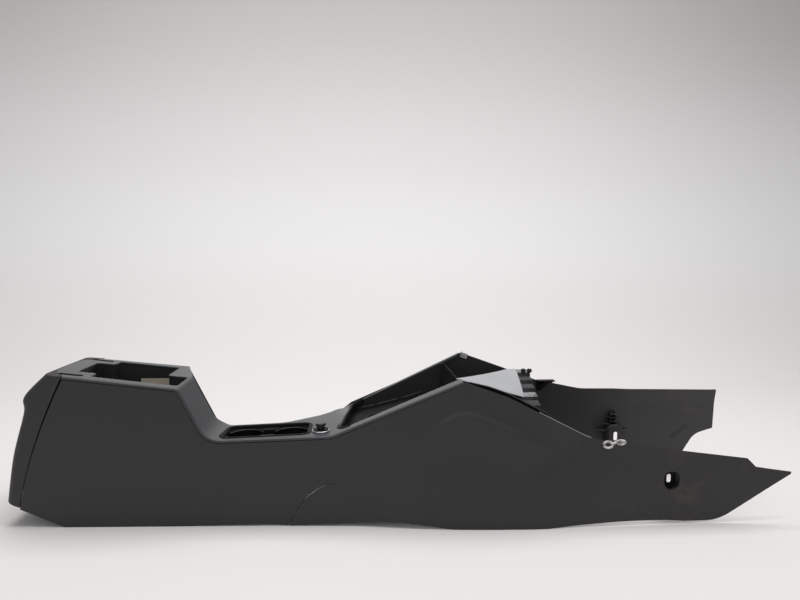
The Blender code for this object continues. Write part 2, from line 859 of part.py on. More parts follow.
def rear_edge(shift):
    """The top seam of the rear cover in plan, from the right side to the left."""
    half = lateral(SEAM_X, box_height(SEAM_X)) - 3 * MM
    middle_x = BOX_REAR_X + 3 * MM
    corners = [
        (SEAM_X - shift, -half, 0),
        (SEAM_X - shift - MM, -half + 2 * MM, 3 * MM),
        (middle_x + 4 * MM - shift, -50 * MM, 20 * MM),
        (middle_x - shift, -34 * MM, 20 * MM),
    ]
    left = [(x, -y, radius) for x, y, radius in reversed(corners)]
    return fillet_line(corners + left, closed=False)


def slot_outline(x, y, length, width):
    """A slot with round ends along X."""
    reach = length / 2
    half = width / 2
    return fillet_line([
        (x - reach, y - half, half * 0.96),
        (x + reach, y - half, half * 0.96),
        (x + reach, y + half, half * 0.96),
        (x - reach, y + half, half * 0.96),
    ])


def oblong(x, z, length, height, radius):
    return fillet_line([
        (x - length / 2, z - height / 2, radius),
        (x + length / 2, z - height / 2, radius),
        (x + length / 2, z + height / 2, radius),
        (x - length / 2, z + height / 2, radius),
    ])


# Side panels

def carriers():
    """Where each carrier meets the sides: station and height, right then left."""
    return {
        "rear_crossmember": ((REAR_BEAM_X, REAR_BEAM_Z), (REAR_BEAM_X, REAR_BEAM_Z)),
        "mid_crossmember": ((MID_BEAM_X, MID_BEAM_Z), (MID_BEAM_X, MID_BEAM_Z)),
        "front_bracket": (bracket_end(-1), bracket_end(1)),
    }


def bracket_end(side):
    """Station and height of the middle of an end plate of the front bracket."""
    middle_x = BRACKET_REAR_X + BRACKET_DEPTH / 2
    if side > 0:
        return (middle_x, BRACKET_TOP_Z - BRACKET_HEIGHT / 2)
    return (middle_x - BRACKET_SKEW * 2 * bracket_half(), BRACKET_END_Z)


def bracket_half():
    """Half length of the stepped body of the front bracket, inside its end plates."""
    return seat_y(BRACKET_REAR_X, BRACKET_TOP_Z) - GAP - MM


def seat_y(x, z):
    """Distance from the middle plane to the face of a boss on a side."""
    return lateral(x, z) - PANEL_WALL - BOSS_LENGTH


def lay_along_y(item, x, y, z, side):
    """Turns an item that stands on its Z so that it points to the given side."""
    item.rotation_euler = (-side * math.pi / 2, 0, 0)
    item.location = (x, y, z)
    return item


def add_boss(panel, name, side, x, z, face_y):
    length = lateral(x, z) - PANEL_WALL / 2 - face_y
    boss = cone(name + "_boss", BOSS_RADIUS, BOSS_RADIUS + 0.4 * MM, length, cutters, 20)
    lay_along_y(boss, x, side * face_y, z, side)
    combine(panel, boss, 'UNION')
    bore = cone(name + "_bore", SCREW_SHANK + SCREW_PLAY, SCREW_SHANK + SCREW_PLAY,
                BOSS_LENGTH + 2 * MM, cutters, 16)
    lay_along_y(bore, x, side * (face_y - 2 * MM), z, side)
    combine(panel, bore, 'DIFFERENCE')


def add_wing_mount(panel, side):
    """The sunken mounting cup in a wing, with the rib tree on its inner side."""
    outer_y = lateral(WING_MOUNT_X, WING_MOUNT_Z)
    in_wall = outer_y - PANEL_WALL / 2
    hole = oblong(WING_MOUNT_X, WING_MOUNT_Z, CUP_HOLE_LENGTH, CUP_HOLE_HEIGHT, CUP_HOLE_RADIUS)
    casing = oblong(WING_MOUNT_X, WING_MOUNT_Z, CUP_HOLE_LENGTH + 2 * CUP_WALL,
                    CUP_HOLE_HEIGHT + 2 * CUP_WALL, CUP_HOLE_RADIUS + CUP_WALL)
    tag = panel.name
    spans = sorted((side * in_wall, side * (MOUNT_FACE_Y - CUP_WALL)))
    combine(panel, prism(tag + "_mount", casing, "XZ", *spans, cutters), 'UNION')
    spine_foot = WING_MOUNT_Z + CUP_HOLE_HEIGHT / 2
    deep = in_wall - TREE_ROOT_DEPTH
    shallow = in_wall - 4 * MM
    spine = [(side * in_wall, spine_foot), (side * deep, spine_foot),
             (side * shallow, spine_foot + TREE_HEIGHT), (side * in_wall, spine_foot + TREE_HEIGHT)]
    low_x = SCREW_SLOT_X - TREE_SPINE / 2
    combine(panel, prism(tag + "_spine", spine, "YZ", low_x, low_x + TREE_SPINE, cutters), 'UNION')
    for index in range(TREE_RIBS):
        share = index / TREE_RIBS
        z = spine_foot + 2.5 * MM + share * TREE_HEIGHT
        width = TREE_ROOT_WIDTH * (1 - share)
        reach = in_wall - TREE_ROOT_DEPTH * (1 - 0.8 * share)
        root = lateral(WING_MOUNT_X, z) - PANEL_WALL / 2
        rib = [(SCREW_SLOT_X - width / 2, side * root), (SCREW_SLOT_X + width / 2, side * root),
               (SCREW_SLOT_X + 5 * MM, side * reach), (SCREW_SLOT_X - 5 * MM, side * reach)]
        tool = prism(f"{tag}_rib_{index}", rib, "XY", z, z + TREE_RIB_WALL, cutters)
        combine(panel, tool, 'UNION')
    open_spans = sorted((side * (outer_y + 20 * MM), side * MOUNT_FACE_Y))
    combine(panel, prism(tag + "_cup", hole, "XZ", *open_spans, cutters), 'DIFFERENCE')
    slot = oblong(SCREW_SLOT_X, WING_MOUNT_Z - MM, SCREW_SLOT_WIDTH, SCREW_SLOT_LENGTH,
                  SCREW_SLOT_WIDTH * 0.45)
    slot_spans = sorted((side * (MOUNT_FACE_Y + 5 * MM), side * (MOUNT_FACE_Y - 10 * MM)))
    combine(panel, prism(tag + "_slot", slot, "XZ", *slot_spans, cutters), 'DIFFERENCE')


def side_panel(name, side, outline):
    def place(x, z):
        return (x, side * lateral(x, z), z)
    panel = sheet(name, all_stations(), all_heights(), place, parts, flip=side > 0)
    thicken(panel, PANEL_WALL)
    spans = sorted((side * 30 * MM, side * 200 * MM))
    combine(panel, prism(name + "_outline", outline, "XZ", *spans, cutters), 'INTERSECT')
    for carrier, ends in carriers().items():
        x, z = ends[0] if side < 0 else ends[1]
        add_boss(panel, f"{name}_{carrier}", side, x, z, seat_y(x, z))
    add_wing_mount(panel, side)
    return finish(frozen(panel), black_plastic)


def toe_and_heel(toe_x, toe_z):
    """The lower edge from the seam's foot to just behind the toe."""
    return seam_line()[1:-1] + heel_line() + bottom_line((toe_x - TOE_RADIUS, toe_z))


def right_side_panel():
    front = fillet_line([
        (TOE_X - TOE_RADIUS, TOE_Z, 0),
        (TOE_X, TOE_Z, TOE_RADIUS),
        (RIGHT_TIP_X, RIGHT_TIP_Z, 1.5 * MM),
        (RIGHT_NOTCH_X + NOTCH_LENGTH, RIGHT_NOTCH_Z - NOTCH_DEPTH, 4 * MM),
        (RIGHT_NOTCH_X, RIGHT_NOTCH_Z, 3 * MM),
        (RIGHT_WING_X, RIGHT_WING_Z, WING_RADIUS),
        (RIGHT_KNEE_X, RIGHT_KNEE_Z, KNEE_RADIUS),
        (RIGHT_BROW_X, RIGHT_BROW_Z, BROW_RADIUS),
        (RIGHT_CREST_X + TRIM_END_GAP, rail_height(RIGHT_CREST_X), 0),
    ], closed=False)
    top = under_trim(SEAM_X, RIGHT_CREST_X + TRIM_END_GAP, -LEFT_RAIL_Y)
    outline = toe_and_heel(TOE_X, TOE_Z) + front[1:] + top[::-1]
    return side_panel("right_side_panel", -1, outline)


def recess_rim():
    """The edge of the left side along the hand brake recess, rear to front."""
    rear = under_trim(SEAM_X, RECESS_REAR_X, 0)[-1]
    front = under_trim(RECESS_FRONT_X, LEFT_CREST_X, LEFT_RAIL_Y)[0]
    return fillet_line([
        (rear.x, rear.y, 0),
        (RECESS_DIP_REAR_X, RECESS_RIM_Z, 20 * MM),
        (RECESS_DIP_FRONT_X, RECESS_RIM_Z, 25 * MM),
        (front.x, front.y, 0),
    ], closed=False)


def left_side_panel():
    front = fillet_line([
        (LEFT_TOE_X - TOE_RADIUS, TOE_Z, 0),
        (LEFT_TOE_X, TOE_Z, TOE_RADIUS),
        (LEFT_LIP_X, LEFT_LIP_Z, 8 * MM),
        (LEFT_HOLLOW_X, LEFT_HOLLOW_Z, 30 * MM),
        (LEFT_END_X, LEFT_CORNER_Z, 3 * MM),
        (LEFT_END_X, LEFT_END_Z, 3 * MM),
        (LEFT_WING_X, LEFT_WING_Z, BROW_RADIUS),
        (LEFT_STEP_X, LEFT_KNEE_Z - LEFT_STEP_DROP, 2 * MM),
        (LEFT_STEP_X, LEFT_KNEE_Z, 1.5 * MM),
        (LEFT_KNEE_X, LEFT_KNEE_Z, 12 * MM),
        (LEFT_BROW_X, LEFT_BROW_Z, WING_RADIUS),
        (LEFT_CREST_X + TRIM_END_GAP, rail_height(LEFT_CREST_X), 0),
    ], closed=False)
    rail = under_trim(RECESS_FRONT_X, LEFT_CREST_X + TRIM_END_GAP, LEFT_RAIL_Y)
    box = under_trim(SEAM_X, RECESS_REAR_X, 0)
    outline = toe_and_heel(LEFT_TOE_X, TOE_Z) + front[1:] + rail[::-1]
    outline += recess_rim()[-2:0:-1] + box[::-1]
    return side_panel("left_side_panel", 1, outline)


# Upper trim and the pieces that hang under it

def upper_trim():
    left_front = side_edge(RECESS_FRONT_X, LEFT_CREST_X, 1)
    recess = fillet_line(recess_corners(left_front[0].y), closed=False)
    rear_right, rear_left = shift_corners()[0], shift_corners()[-1]
    opening = fillet_line([
        (RIGHT_CREST_X, SHIFT_RIGHT_Y, 0),
        rear_right,
        rear_left,
        (LEFT_CREST_X, rail_inner_y(LEFT_CREST_X), 0),
    ], closed=False)
    outline = side_edge(SEAM_X, RIGHT_CREST_X, -1) + opening
    outline += left_front[::-1] + recess[-2:0:-1]
    outline += side_edge(SEAM_X, RECESS_REAR_X, 1)[::-1] + rear_edge(0)[::-1]
    trim = top_layer("upper_trim", 0, TRIM_WALL)
    parts.objects.link(trim)
    cutters.objects.unlink(trim)
    trim.hide_render = False
    trim.display_type = 'TEXTURED'
    combine(trim, prism("trim_plan", outline, "XY", 0, LARGE, cutters), 'INTERSECT')
    combine(trim, prism("trim_bin", fillet_line(bin_corners()), "XY", 0, LARGE, cutters), 'DIFFERENCE')
    combine(trim, prism("trim_cups", fillet_line(cup_corners()), "XY", 0, LARGE, cutters), 'DIFFERENCE')
    length = HINGE_SLOT_FRONT_X - HINGE_SLOT_REAR_X
    for side in (-1, 1):
        slot = oblong(HINGE_SLOT_REAR_X + length / 2, side * HINGE_SLOT_Y, length,
                      HINGE_SLOT_WIDTH, MM)
        combine(trim, prism(f"trim_slot_{side}", slot, "XY", 0, LARGE, cutters), 'DIFFERENCE')
    bore = cone("trim_socket", sleeve_radius() + GAP, sleeve_radius() + GAP, 20 * MM, cutters)
    bore.matrix_world = socket_frame() @ Matrix.Translation((0, 0, -10 * MM))
    combine(trim, bore, 'DIFFERENCE')
    return finish(frozen(trim), black_plastic)


def storage_bin():
    corners = bin_corners()
    under = TRIM_WALL + GAP
    tub = prism("storage_bin", fillet_line(grown(corners, BIN_INSET + INSERT_WALL)), "XY",
                BIN_FLOOR_Z - INSERT_WALL, TALL, parts)
    combine(tub, above_top("bin_above", under + STEP_BACK), 'DIFFERENCE')
    flange = top_layer("bin_flange", under, INSERT_WALL)
    combine(flange, prism("bin_flange_plan", fillet_line(grown(corners, BIN_FLANGE)), "XY",
                          BIN_FLOOR_Z, LARGE, cutters), 'INTERSECT')
    combine(tub, flange, 'UNION')
    combine(tub, prism("bin_hollow", fillet_line(grown(corners, BIN_INSET)), "XY",
                       BIN_FLOOR_Z, LARGE, cutters), 'DIFFERENCE')
    return finish(frozen(tub), black_plastic)


def bin_label():
    wall_y = BIN_LEFT_Y + BIN_INSET
    low = (LABEL_X - LABEL_LENGTH / 2, wall_y - GAP - LABEL_PAPER, LABEL_Z - LABEL_HEIGHT / 2)
    high = (LABEL_X + LABEL_LENGTH / 2, wall_y - GAP, LABEL_Z + LABEL_HEIGHT / 2)
    return finish(block("bin_label", low, high, parts), label_paper)


def hinge_bracket():
    reach = HINGE_SLOT_Y
    inner = HINGE_PLATE / 2
    front = HINGE_SLOT_FRONT_X - 4 * MM
    back = BIN_REAR_X - BIN_FLANGE - 4 * MM
    ring = fillet_line([
        (front, -reach - inner, 0),
        (front, -reach + inner, 0),
        (back, -reach + inner, 3 * MM),
        (back, reach - inner, 3 * MM),
        (front, reach - inner, 0),
        (front, reach + inner, 0),
        (back - HINGE_PLATE, reach + inner, 5 * MM),
        (back - HINGE_PLATE, -reach - inner, 5 * MM),
    ])
    top = box_height(back)
    bracket = prism("hinge_bracket", ring, "XY", top - HINGE_PLATE_WIDTH, TALL, parts)
    combine(bracket, above_top("hinge_above", TRIM_WALL + GAP), 'DIFFERENCE')
    pin_hole = cone("hinge_pin_hole", 3 * MM, 3 * MM, 4 * reach, cutters, 20)
    lay_along_y(pin_hole, back + 10 * MM, -2 * reach, top - HINGE_BAR_WIDTH, 1)
    combine(bracket, pin_hole, 'DIFFERENCE')
    return finish(frozen(bracket), bracket_steel)


def handbrake_tray():
    under = TRIM_WALL + GAP
    corners = recess_corners(LARGE / 2)
    tray = prism("handbrake_tray", fillet_line(grown(corners, TRIM_OVERHANG + TRAY_WALL)), "XY",
                 RECESS_FLOOR_Z - TRAY_WALL, TALL, parts)
    combine(tray, inside_space("tray_space", SEAT_GAP), 'INTERSECT')
    combine(tray, above_top("tray_above", under), 'DIFFERENCE')
    hollow = prism("tray_hollow", fillet_line(grown(corners, TRIM_OVERHANG)), "XY",
                   RECESS_FLOOR_Z, LARGE, cutters)
    combine(hollow, inside_space("tray_hollow_space", SEAT_GAP + TRAY_WALL), 'INTERSECT')
    combine(tray, hollow, 'DIFFERENCE')
    rim = recess_rim()
    above_rim = [(p.x, p.y) for p in rim] + [(rim[-1].x, LARGE), (rim[0].x, LARGE)]
    side_y = lateral(RECESS_REAR_X, BOX_FRONT_Z) - PANEL_WALL - SEAT_GAP - 2 * TRAY_WALL
    combine(tray, prism("tray_rim", above_rim, "XZ", side_y, LARGE / 2, cutters), 'DIFFERENCE')
    length = LEVER_SLOT_FRONT_X - LEVER_SLOT_REAR_X
    lever = slot_outline(LEVER_SLOT_REAR_X + length / 2, LEVER_SLOT_Y, length, LEVER_SLOT_WIDTH)
    combine(tray, prism("lever_slot", lever, "XY", 0, LARGE, cutters), 'DIFFERENCE')
    return finish(frozen(tray), black_plastic)


def cup_holder():
    under = TRIM_WALL + GAP
    middle_x = (CUP_OPENING_REAR_X + CUP_OPENING_FRONT_X) / 2
    middle_y = (CUP_OPENING_RIGHT_Y + CUP_OPENING_LEFT_Y) / 2
    seat_z = low_height(middle_x) - under
    floor_z = seat_z - CUP_DEPTH
    centres = (middle_x - CUP_SPACING / 2, middle_x + CUP_SPACING / 2)
    wells = []
    for index, x in enumerate(centres):
        name = f"cup_well_{index}" if index else "cup_holder"
        well = cone(name, CUP_RADIUS - CUP_TAPER + INSERT_WALL, CUP_RADIUS + INSERT_WALL,
                    CUP_DEPTH + INSERT_WALL + CUP_FLANGE, cutters if index else parts, 40)
        well.location = (x, middle_y, floor_z - INSERT_WALL)
        wells.append(well)
    holder = wells[0]
    combine(holder, wells[1], 'UNION')
    bay_floor = floor_z + CUP_BAY_RISE
    bay_low = (-CUP_BAY_REACH, -CUP_BAY_WIDTH / 2 - INSERT_WALL, bay_floor - INSERT_WALL)
    bay_high = (CUP_BAY_REACH, CUP_BAY_WIDTH / 2 + INSERT_WALL, seat_z + CUP_FLANGE / 2)
    bay = block("cup_bay", bay_low, bay_high, cutters)
    bay.location = (middle_x, middle_y, 0)
    combine(holder, bay, 'UNION')
    combine(holder, above_top("cup_above", under + STEP_BACK), 'DIFFERENCE')
    plate = top_layer("cup_plate", under, INSERT_WALL)
    combine(plate, prism("cup_plate_plan", fillet_line(grown(cup_corners(), CUP_FLANGE)), "XY",
                         floor_z, LARGE, cutters), 'INTERSECT')
    combine(holder, plate, 'UNION')
    for index, x in enumerate(centres):
        hollow = cone(f"cup_hollow_{index}", CUP_RADIUS - CUP_TAPER, CUP_RADIUS + 0.4 * MM,
                      CUP_DEPTH + 10 * MM, cutters, 40)
        hollow.location = (x, middle_y, floor_z)
        combine(holder, hollow, 'DIFFERENCE')
    hollow = block("cup_bay_hollow", (-CUP_BAY_REACH, -CUP_BAY_WIDTH / 2, bay_floor),
                   (CUP_BAY_REACH, CUP_BAY_WIDTH / 2, seat_z + 10 * MM), cutters)
    hollow.location = (middle_x, middle_y, 0)
    combine(holder, hollow, 'DIFFERENCE')
    return finish(frozen(holder), black_plastic)


# Power socket and lighter, on a common axis square to the low flat

def socket_frame():
    """Frame whose origin is on the trim at the socket and whose Z is the socket's axis."""
    tilt = math.atan2(LOW_FRONT_Z - LOW_REAR_Z, LOW_FRONT_X - LOW_REAR_X)
    place = Matrix.Translation((SOCKET_X, SOCKET_Y, low_height(SOCKET_X)))
    return place @ Matrix.Rotation(-tilt, 4, 'Y')


def sleeve_radius():
    return SOCKET_BORE + SOCKET_BARREL_WALL + GAP + SOCKET_SLEEVE_WALL


def rim_top():
    return SOCKET_SEAT + SOCKET_RIM_HEIGHT


def plug_rim_top():
    return rim_top() + GAP + PLUG_RIM_HEIGHT


def on_socket_axis(item, rise=0.0):
    item.matrix_world = socket_frame() @ Matrix.Translation((0, 0, rise))
    return item


def socket_sleeve():
    inner = SOCKET_BORE + SOCKET_BARREL_WALL + GAP
    lip = SOCKET_BORE - MM
    profile = [
        (SOCKET_RIM_RADIUS - 0.5 * MM, rim_top()),
        (SOCKET_RIM_RADIUS, rim_top() - 0.5 * MM),
        (SOCKET_RIM_RADIUS, SOCKET_SEAT),
        (sleeve_radius(), SOCKET_SEAT),
        (sleeve_radius(), -SOCKET_LENGTH),
        (lip, -SOCKET_LENGTH),
        (lip, -SOCKET_LENGTH + SOCKET_SLEEVE_WALL),
        (inner, -SOCKET_LENGTH + SOCKET_SLEEVE_WALL),
        (inner, rim_top()),
    ]
    return finish(on_socket_axis(turned("socket_sleeve", profile, parts)), black_plastic)


def barrel_floor():
    return -SOCKET_LENGTH + SOCKET_SLEEVE_WALL + GAP + SOCKET_BARREL_WALL


def socket_barrel():
    outer = SOCKET_BORE + SOCKET_BARREL_WALL
    top = rim_top() - 0.4 * MM
    low = barrel_floor() - SOCKET_BARREL_WALL
    profile = [
        (outer, top),
        (outer, low),
        (2.3 * MM, low),
        (2.3 * MM, barrel_floor()),
        (SOCKET_BORE, barrel_floor()),
        (SOCKET_BORE, top),
    ]
    return finish(on_socket_axis(turned("socket_barrel", profile, parts)), barrel_metal)


def socket_contact():
    seat = barrel_floor() + GAP
    profile = [
        (0, seat + MM),
        (4 * MM, seat + MM),
        (4 * MM, seat),
        (1.8 * MM, seat),
        (1.8 * MM, seat - 8 * MM),
        (0, seat - 8 * MM),
    ]
    return finish(on_socket_axis(turned("socket_contact", profile, parts, 20)), contact_brass)


def lighter_shell():
    outer = SOCKET_BORE - PLUG_PLAY
    seat = rim_top() + GAP
    hole = KNOB_WAIST + KNOB_PLAY
    profile = [
        (PLUG_RIM_RADIUS - 0.4 * MM, plug_rim_top()),
        (PLUG_RIM_RADIUS, plug_rim_top() - 0.4 * MM),
        (PLUG_RIM_RADIUS, seat),
        (outer, seat),
        (outer, seat - PLUG_LENGTH),
        (outer - PLUG_WALL, seat - PLUG_LENGTH),
        (outer - PLUG_WALL, seat - PLUG_WALL),
        (hole, seat - PLUG_WALL),
        (hole, plug_rim_top()),
    ]
    return finish(on_socket_axis(turned("lighter_shell", profile, parts)), barrel_metal)


def stem_end():
    return rim_top() + GAP - PLUG_LENGTH + COIL_CUP_HEIGHT + KNOB_TRAVEL


def lighter_knob():
    head_low = plug_rim_top() + GAP + KNOB_TRAVEL
    profile = [
        (0, head_low + KNOB_HEAD),
        (KNOB_RADIUS - 2 * MM, head_low + KNOB_HEAD),
        (KNOB_RADIUS - 0.6 * MM, head_low + KNOB_HEAD - 0.6 * MM),
        (KNOB_RADIUS, head_low + KNOB_HEAD - 2 * MM),
        (KNOB_RADIUS - 0.3 * MM, head_low + MM),
        (KNOB_WAIST, head_low),
        (KNOB_WAIST, rim_top() - KNOB_ENTRY),
        (STEM_RADIUS, rim_top() - KNOB_ENTRY - MM),
        (STEM_RADIUS, stem_end()),
        (0, stem_end()),
    ]
    return finish(on_socket_axis(turned("lighter_knob", profile, parts)), gloss_plastic)


def lighter_coil_cup():
    top = stem_end() - GAP
    wall = 0.6 * MM
    profile = [
        (COIL_CUP_RADIUS - MM, top),
        (COIL_CUP_RADIUS, top - MM),
        (COIL_CUP_RADIUS, top - COIL_CUP_HEIGHT),
        (COIL_CUP_RADIUS - wall, top - COIL_CUP_HEIGHT),
        (COIL_CUP_RADIUS - wall, top - 1.4 * MM),
        (0, top - 1.4 * MM),
    ]
    item = turned("lighter_coil_cup", [(0, top)] + profile, parts, 24)
    return finish(on_socket_axis(item), contact_brass)


# Shift surround

def shift_floor(x):
    return SHIFT_BASE_Z + math.tan(SHIFT_BASE_SLOPE) * (x - SHIFT_BASE_X)


def above_floor(name, drop):
    """Space above the sloping floor of the surround, lowered by drop."""
    rear = -200 * MM
    front = 150 * MM
    outline = [(rear, shift_floor(rear) - drop), (front, shift_floor(front) - drop),
               (front, LARGE), (rear, LARGE)]
    return prism(name, outline, "XZ", -LARGE / 2, LARGE / 2, cutters)


def shift_surround():
    corners = shift_corners()
    outer = prism("shift_surround", fillet_line(grown(corners, -BIN_INSET)), "XY", 0, TALL, parts)
    combine(outer, above_floor("surround_below", INSERT_WALL), 'INTERSECT')
    combine(outer, above_top("surround_above", MM), 'DIFFERENCE')
    flange = top_layer("surround_flange", TRIM_WALL + GAP, INSERT_WALL)
    combine(flange, prism("surround_flange_plan", fillet_line(grown(corners, 3 * MM)), "XY",
                          0, LARGE, cutters), 'INTERSECT')
    combine(outer, flange, 'UNION')
    hollow = prism("surround_hollow", fillet_line(grown(corners, -BIN_INSET - INSERT_WALL)), "XY",
                   0, TALL, cutters)
    combine(hollow, above_floor("surround_floor", 0), 'INTERSECT')
    combine(outer, hollow, 'DIFFERENCE')
    length = SHIFT_SLOT_FRONT_X - SHIFT_SLOT_REAR_X
    middle = SHIFT_SLOT_REAR_X + length / 2
    rim = oblong(middle, 0, length + 2 * SHIFT_RIM, 2 * SHIFT_SLOT_HALF + 2 * SHIFT_RIM,
                 14 * MM + SHIFT_RIM)
    rim_low = shift_floor(SHIFT_SLOT_REAR_X) - 4 * MM
    collar = prism("surround_collar", rim, "XY", rim_low, TALL, cutters)
    combine(collar, above_floor("collar_foot", INSERT_WALL / 2), 'INTERSECT')
    combine(collar, above_floor("collar_top", -SHIFT_RIM_HEIGHT), 'DIFFERENCE')
    combine(outer, collar, 'UNION')
    aperture = oblong(middle, 0, length, 2 * SHIFT_SLOT_HALF, 14 * MM)
    combine(outer, prism("lever_aperture", aperture, "XY", 0, LARGE, cutters), 'DIFFERENCE')
    return finish(frozen(outer), dark_plastic)


def front_cover_plate():
    """A thin sheet from the front of the shift opening down to the front bracket."""
    tip = seat_tip()
    rear_z = rail_height(SHIFT_FRONT_X) - MM + GAP + PLATE_WALL + PLATE_REAR_RISE

    def place(across, along):
        rear = Vector((PLATE_REAR_X, PLATE_RIGHT_Y, rear_z)).lerp(tip, across)
        front = Vector((PLATE_FRONT_X, PLATE_RIGHT_Y, PLATE_FRONT_Z)).lerp(
            tip + Vector((PLATE_TIP_WIDTH, 0, 0)), across)
        sag = PLATE_SAG * math.sin(math.pi * across) * math.sin(math.pi * along)
        return rear.lerp(front, along) - Vector((0, 0, sag))
    shares = [index / 8 for index in range(9)]
    plate = sheet("front_cover_plate", shares, shares[::2], place, parts, flip=True)
    return finish(frozen(thicken(plate, PLATE_WALL)), light_sheet)


def seat_tip():
    return Vector((BRACKET_REAR_X - 4 * MM, PLATE_TIP_Y, BRACKET_TOP_Z + PLATE_WALL + PLATE_TIP_RISE))


# Carriers, screws and clips

def front_bracket():
    half = bracket_half()
    steps = []
    width = 2 * half / BRACKET_STEPS
    for index in range(BRACKET_STEPS):
        z = BRACKET_TOP_Z - BRACKET_STEP_DROP * index
        steps.append((half - width * index, z))
        steps.append((half - width * (index + 1), z))
    low_left = BRACKET_TOP_Z - BRACKET_HEIGHT
    low_right = low_left - BRACKET_STEP_DROP * (BRACKET_STEPS - 1)
    outline = steps + [(-half, low_right), (half, low_left)]
    front = BRACKET_REAR_X + BRACKET_DEPTH
    bracket = prism("front_bracket", outline, "YZ", BRACKET_REAR_X, front, parts)
    for index in range(BRACKET_STEPS):
        top = BRACKET_TOP_Z - BRACKET_STEP_DROP * index - BRACKET_SKIN
        left = half - width * index - BRACKET_SKIN
        low = (BRACKET_REAR_X + BRACKET_SKIN, left - width + 1.5 * BRACKET_SKIN,
               top - BRACKET_HEIGHT + 2 * BRACKET_SKIN + BRACKET_STEP_DROP)
        cell = block(f"bracket_cell_{index}", low, (front + MM, left, top), cutters)
        combine(bracket, cell, 'DIFFERENCE')
    frozen(bracket)
    reshaped(bracket, lambda p: Vector((p.x - BRACKET_SKEW * (half - p.y), p.y, p.z)))
    for side in (-1, 1):
        x, z = bracket_end(side)
        far = seat_y(x, z) - GAP
        near = half - BEAM_WALL
        low = (x - BRACKET_DEPTH / 2, near, z - BRACKET_HEIGHT / 2 + 2 * MM)
        high = (x + BRACKET_DEPTH / 2, far, z + BRACKET_HEIGHT / 2 - 2 * MM)
        if side < 0:
            low, high = (low[0], -far, low[2]), (high[0], -near, high[2])
        combine(bracket, block(f"bracket_end_{side}", low, high, cutters), 'UNION')
        bore = cone(f"bracket_bore_{side}", SCREW_SHANK + SCREW_PLAY, SCREW_SHANK + SCREW_PLAY,
                    30 * MM, cutters, 16)
        lay_along_y(bore, x, side * (near - 20 * MM), z, side)
        combine(bracket, bore, 'DIFFERENCE')
    return finish(frozen(bracket), dark_plastic)


def bracket_buffer(index):
    name = f"bracket_buffer_{index + 1}"
    buffer = cone(name, BUFFER_RADIUS, BUFFER_RADIUS - 0.6 * MM, BUFFER_HEIGHT, parts, 20)
    x = BRACKET_REAR_X + BRACKET_DEPTH / 2 + (index - 0.5) * BUFFER_SPACING + 4 * MM
    buffer.location = (x, PLATE_TIP_Y - 14 * MM, BRACKET_TOP_Z + GAP)
    return finish(bevelled(buffer, 0.8 * MM), buffer_rubber)


def crossmember(name, x, z, depth, height):
    """A channel, open below, between bosses on the two sides."""
    half = seat_y(x, z) - GAP
    beam = block(name, (x - depth / 2, -half, z - height / 2),
                 (x + depth / 2, half, z + height / 2), parts)
    hollow = block(name + "_hollow",
                   (x - depth / 2 + BEAM_WALL, -half + BEAM_WALL, z - height),
                   (x + depth / 2 - BEAM_WALL, half - BEAM_WALL, z + height / 2 - BEAM_WALL), cutters)
    combine(beam, hollow, 'DIFFERENCE')
    bore = cone(name + "_bores", SCREW_SHANK + SCREW_PLAY, SCREW_SHANK + SCREW_PLAY,
                2 * half + 4 * MM, cutters, 16)
    lay_along_y(bore, x, -half - 2 * MM, z, 1)
    combine(beam, bore, 'DIFFERENCE')
    return beam


def rear_crossmember():
    beam = crossmember("rear_crossmember", REAR_BEAM_X, REAR_BEAM_Z, REAR_BEAM_DEPTH,
                       REAR_BEAM_HEIGHT)
    for side in (-1, 1):
        bore = cone(f"cover_bore_{side}", SCREW_SHANK + SCREW_PLAY, SCREW_SHANK + SCREW_PLAY,
                    12 * MM, cutters, 16)
        bore.rotation_euler = (0, -math.pi / 2, 0)
        bore.location = (REAR_BEAM_X - REAR_BEAM_DEPTH / 2 + 6 * MM, side * COVER_SCREW_Y,
                         REAR_BEAM_Z)
        combine(beam, bore, 'DIFFERENCE')
    return finish(frozen(beam), black_plastic)


def mid_crossmember():
    beam = crossmember("mid_crossmember", MID_BEAM_X, MID_BEAM_Z, MID_BEAM_DEPTH, MID_BEAM_HEIGHT)
    return finish(frozen(beam), black_plastic)


def screw(name):
    """A pan head screw whose head sits on its own origin, shank along -Z."""
    profile = [
        (0, SCREW_HEAD_HEIGHT),
        (SCREW_HEAD * 0.6, SCREW_HEAD_HEIGHT),
        (SCREW_HEAD, SCREW_HEAD_HEIGHT * 0.5),
        (SCREW_HEAD, 0),
        (SCREW_SHANK, 0),
        (SCREW_SHANK, MM - SCREW_LENGTH),
        (0, -SCREW_LENGTH),
    ]
    return finish(turned(name, profile, parts, 12), screw_steel)


def end_screws(name, ends):
    """One screw through each end plate of a carrier into the boss behind it."""
    for side, label, (x, z) in ((-1, "right", ends[0]), (1, "left", ends[1])):
        item = screw(f"{name}_screw_{label}")
        inner_face = end_plate_inner(name, side, x, z)
        item.rotation_euler = (side * math.pi / 2, 0, 0)
        item.location = (x, side * (inner_face - GAP), z)


def end_plate_inner(name, side, x, z):
    if name == "front_bracket":
        return bracket_half() - BEAM_WALL
    return seat_y(x, z) - GAP - BEAM_WALL


def cover_screws():
    for side, label in ((-1, "right"), (1, "left")):
        item = screw(f"rear_cover_screw_{label}")
        item.rotation_euler = (0, math.pi / 2, 0)
        item.location = (REAR_BEAM_X - REAR_BEAM_DEPTH / 2 + BEAM_WALL + GAP,
                         side * COVER_SCREW_Y, REAR_BEAM_Z)


# Rear cover

